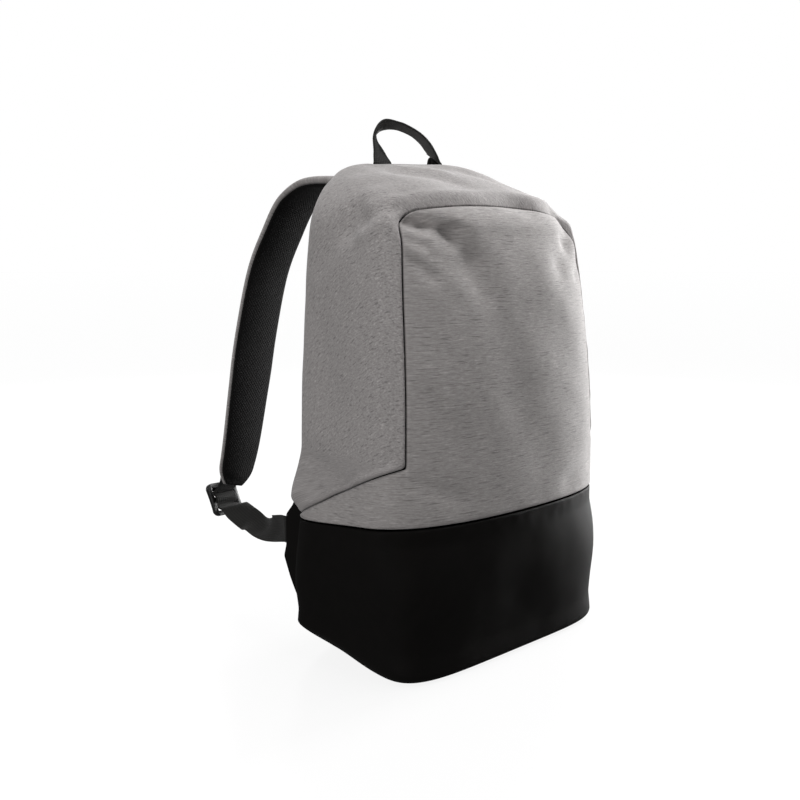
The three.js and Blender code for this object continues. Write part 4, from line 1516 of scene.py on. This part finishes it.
# %% Padded back
def back_rows():
    """Height and half width of each row."""
    low, top = BACK_BOTTOM + BACK_BOTTOM_RADIUS, BACK_TOP - BACK_TOP_RADIUS

    def corner(z, radius, way, turns):
        centre = plain_half(z) - BACK_INSET - radius
        return [(z + way * radius * math.sin(t), centre + radius * math.cos(t)) for t in turns]

    heights = [mix(low, top, i / 80) for i in range(80)]
    rows = corner(low, BACK_BOTTOM_RADIUS, -1, [math.pi / 2 * (1 - i / 9) for i in range(9)])
    rows += [(z, plain_half(z) - BACK_INSET) for z in heights]
    return rows + corner(top, BACK_TOP_RADIUS, 1, quarter_turns(14))


across_back = 2 * graded(64, 0.8) - 1
back_place = np.array([[on_back(s * half, z) for s in across_back] for z, half in back_rows()])
back_uv = back_place[..., [0, 2]].copy()
CHANNEL_WIDTH, QUILT_LINES, PUFF = 9, (150, 285), 4.5


def back_relief(place):
    inside = np.array([[inside_back(p[0], p[2]) for p in row] for row in place])
    puff = PUFF * (1 - np.exp(-np.maximum(inside, 0) / 9))
    puff -= 3.6 * bell(place[..., 0], CHANNEL_WIDTH) * ease(inside / 20)
    for line in QUILT_LINES:
        puff -= 3.0 * bell(place[..., 2] - line, 4) * ease(inside / 12)
    puff *= ease((404 - place[..., 2]) / 18)
    return puff + ripple(place, 40, 61) * 0.5 * ease(inside / 10)


back_place[..., 1] += np.minimum(back_relief(back_place) - 0.4, PUFF)
back_out = np.zeros_like(back_place)
back_out[..., 1] = 1
place, _, uv, _ = tucked(back_place, back_out, back_uv, np.zeros(back_place.shape[:2]), depth=3.0)
back_mesh = laid_grid(place, uv)
face_out(back_mesh, Vector((0, 0, 230)))
back = make_piece(back_mesh, "back_cloth", air_mesh, "back_panel", 1, 1.2)

# %% [markdown]
# ## Zip
# The main zip lies between the gusset's edge and the padded back. Woven tape carries a coil of
# small turns, which shows as a fine ribbed line.

# %% Zip
ZIP_END = 150
ZIP_DEPTH = 2.2


def zip_stations(inset):
    corner_z = ZIP_TOP - ZIP_CORNER
    left = []
    for i in range(12):
        z = mix(ZIP_END - 12, corner_z, i / 12)
        left.append((-(plain_half(z) - ZIP_INSET - inset), z))
    centre = plain_half(corner_z) - ZIP_INSET - ZIP_CORNER
    radius = ZIP_CORNER - inset
    for turn in quarter_turns(8):
        left.append((-centre - radius * math.cos(turn), corner_z + radius * math.sin(turn)))
    points = left + [(-x, z) for x, z in reversed(left)]
    places = [on_back(x, z) - np.array((0, ZIP_DEPTH, 0)) for x, z in points]
    stations = []
    for i, p in enumerate(places):
        ahead, behind = places[min(i + 1, len(places) - 1)], places[max(i - 1, 0)]
        stations.append((p, np.cross(unit(ahead - behind), (0, 1, 0))))
    return stations


zip_path = zip_stations(ZIP_WIDTH / 2)
tape_mesh = closed_out(sweep(zip_path, 200, lambda t: tape_section(ZIP_WIDTH + 2, 0.9)))
make_piece(tape_mesh, "zip_tape", base_cloth, "zip_band")
coil_mesh = closed_out(sweep(zip_path, 260, lambda t: tape_section(4.4, 1.4, shift=1.1)))
make_piece(coil_mesh, "zip_coil", webbing, None)

# %% [markdown]
# ## Floor and light
# The bag stands on a plain white sweep, which glows a little of its own so that it stays white far
# off, and carries a faint shadow and reflection. One lamp hangs over the bag and lights its top, and
# the key stands high at the right. A low strong lamp at the right draws the bright edge. Weak lamps
# fill the left side and the back, and the room adds a low even light. The floor throws no light back,
# which keeps the base dark.

# %% Floor
def floor_material():
    material, tree = new_material("white_floor")
    shader = add(tree, "ShaderNodeBsdfPrincipled", {
        "Base Color": linear("#5c5c5c"),
        "Roughness": 0.22,
        "Specular IOR Level": 0.5,
        "Emission Color": linear("#ffffff"),
        "Emission Strength": 0.885,
    })
    add(tree, "ShaderNodeOutputMaterial", {"Surface": shader.outputs[0]})
    return material


floor_mesh = bmesh.new()
bmesh.ops.create_grid(floor_mesh, x_segments=2, y_segments=2, size=40.0)
floor_data = bpy.data.meshes.new("floor")
floor_mesh.to_mesh(floor_data)
floor_mesh.free()
floor_data.materials.append(floor_material())
floor = bpy.data.objects.new("floor", floor_data)
floor.location.z = -0.0005
floor.visible_diffuse = False
floor.visible_glossy = False
bpy.context.scene.collection.objects.link(floor)

# %% World and lamps
world = bpy.data.worlds.new("room")
bpy.context.scene.world = world
world.use_nodes = True
ROOM_LIGHT = 0.19
room = world.node_tree
sky = room.nodes["Background"]
sky.inputs["Color"].default_value = (1, 1, 1, 1)
sky.inputs["Strength"].default_value = ROOM_LIGHT
paper = add(room, "ShaderNodeBackground", {"Color": (1, 1, 1, 1), "Strength": 1.0})
seen = add(room, "ShaderNodeLightPath")
layers = {0: seen.outputs["Is Camera Ray"], 1: sky.outputs[0], 2: paper.outputs[0]}
shown = add(room, "ShaderNodeMixShader", layers)
room.links.new(shown.outputs[0], room.nodes["World Output"].inputs["Surface"])
bpy.context.scene.view_settings.view_transform = "Standard"


def lamp(name, place, aim, size, watts):
    data = bpy.data.lights.new(name, "AREA")
    data.shape = "RECTANGLE"
    data.size, data.size_y = size
    data.energy = watts
    light = bpy.data.objects.new(name, data)
    light.location = place
    light.rotation_euler = (Vector(aim) - Vector(place)).to_track_quat("-Z", "Y").to_euler()
    bpy.context.scene.collection.objects.link(light)


lamp("top", (0.1, -0.35, 1.8), (0.0, -0.03, 0.4), (0.9, 0.9), 14.5)
lamp("key", (2.0, -0.5, 1.5), (0.05, -0.05, 0.27), (1.5, 1.5), 24)
lamp("right_edge", (2.3, -0.08, 0.42), (0.1, -0.03, 0.25), (0.4, 1.3), 108)
lamp("left_fill", (-1.8, -0.35, 0.45), (-0.1, 0.0, 0.28), (1.2, 1.0), 11.5)
lamp("behind", (0.5, 2.2, 1.1), (0.0, 0.05, 0.25), (1.2, 1.0), 14)

# %% Finish
print("done")
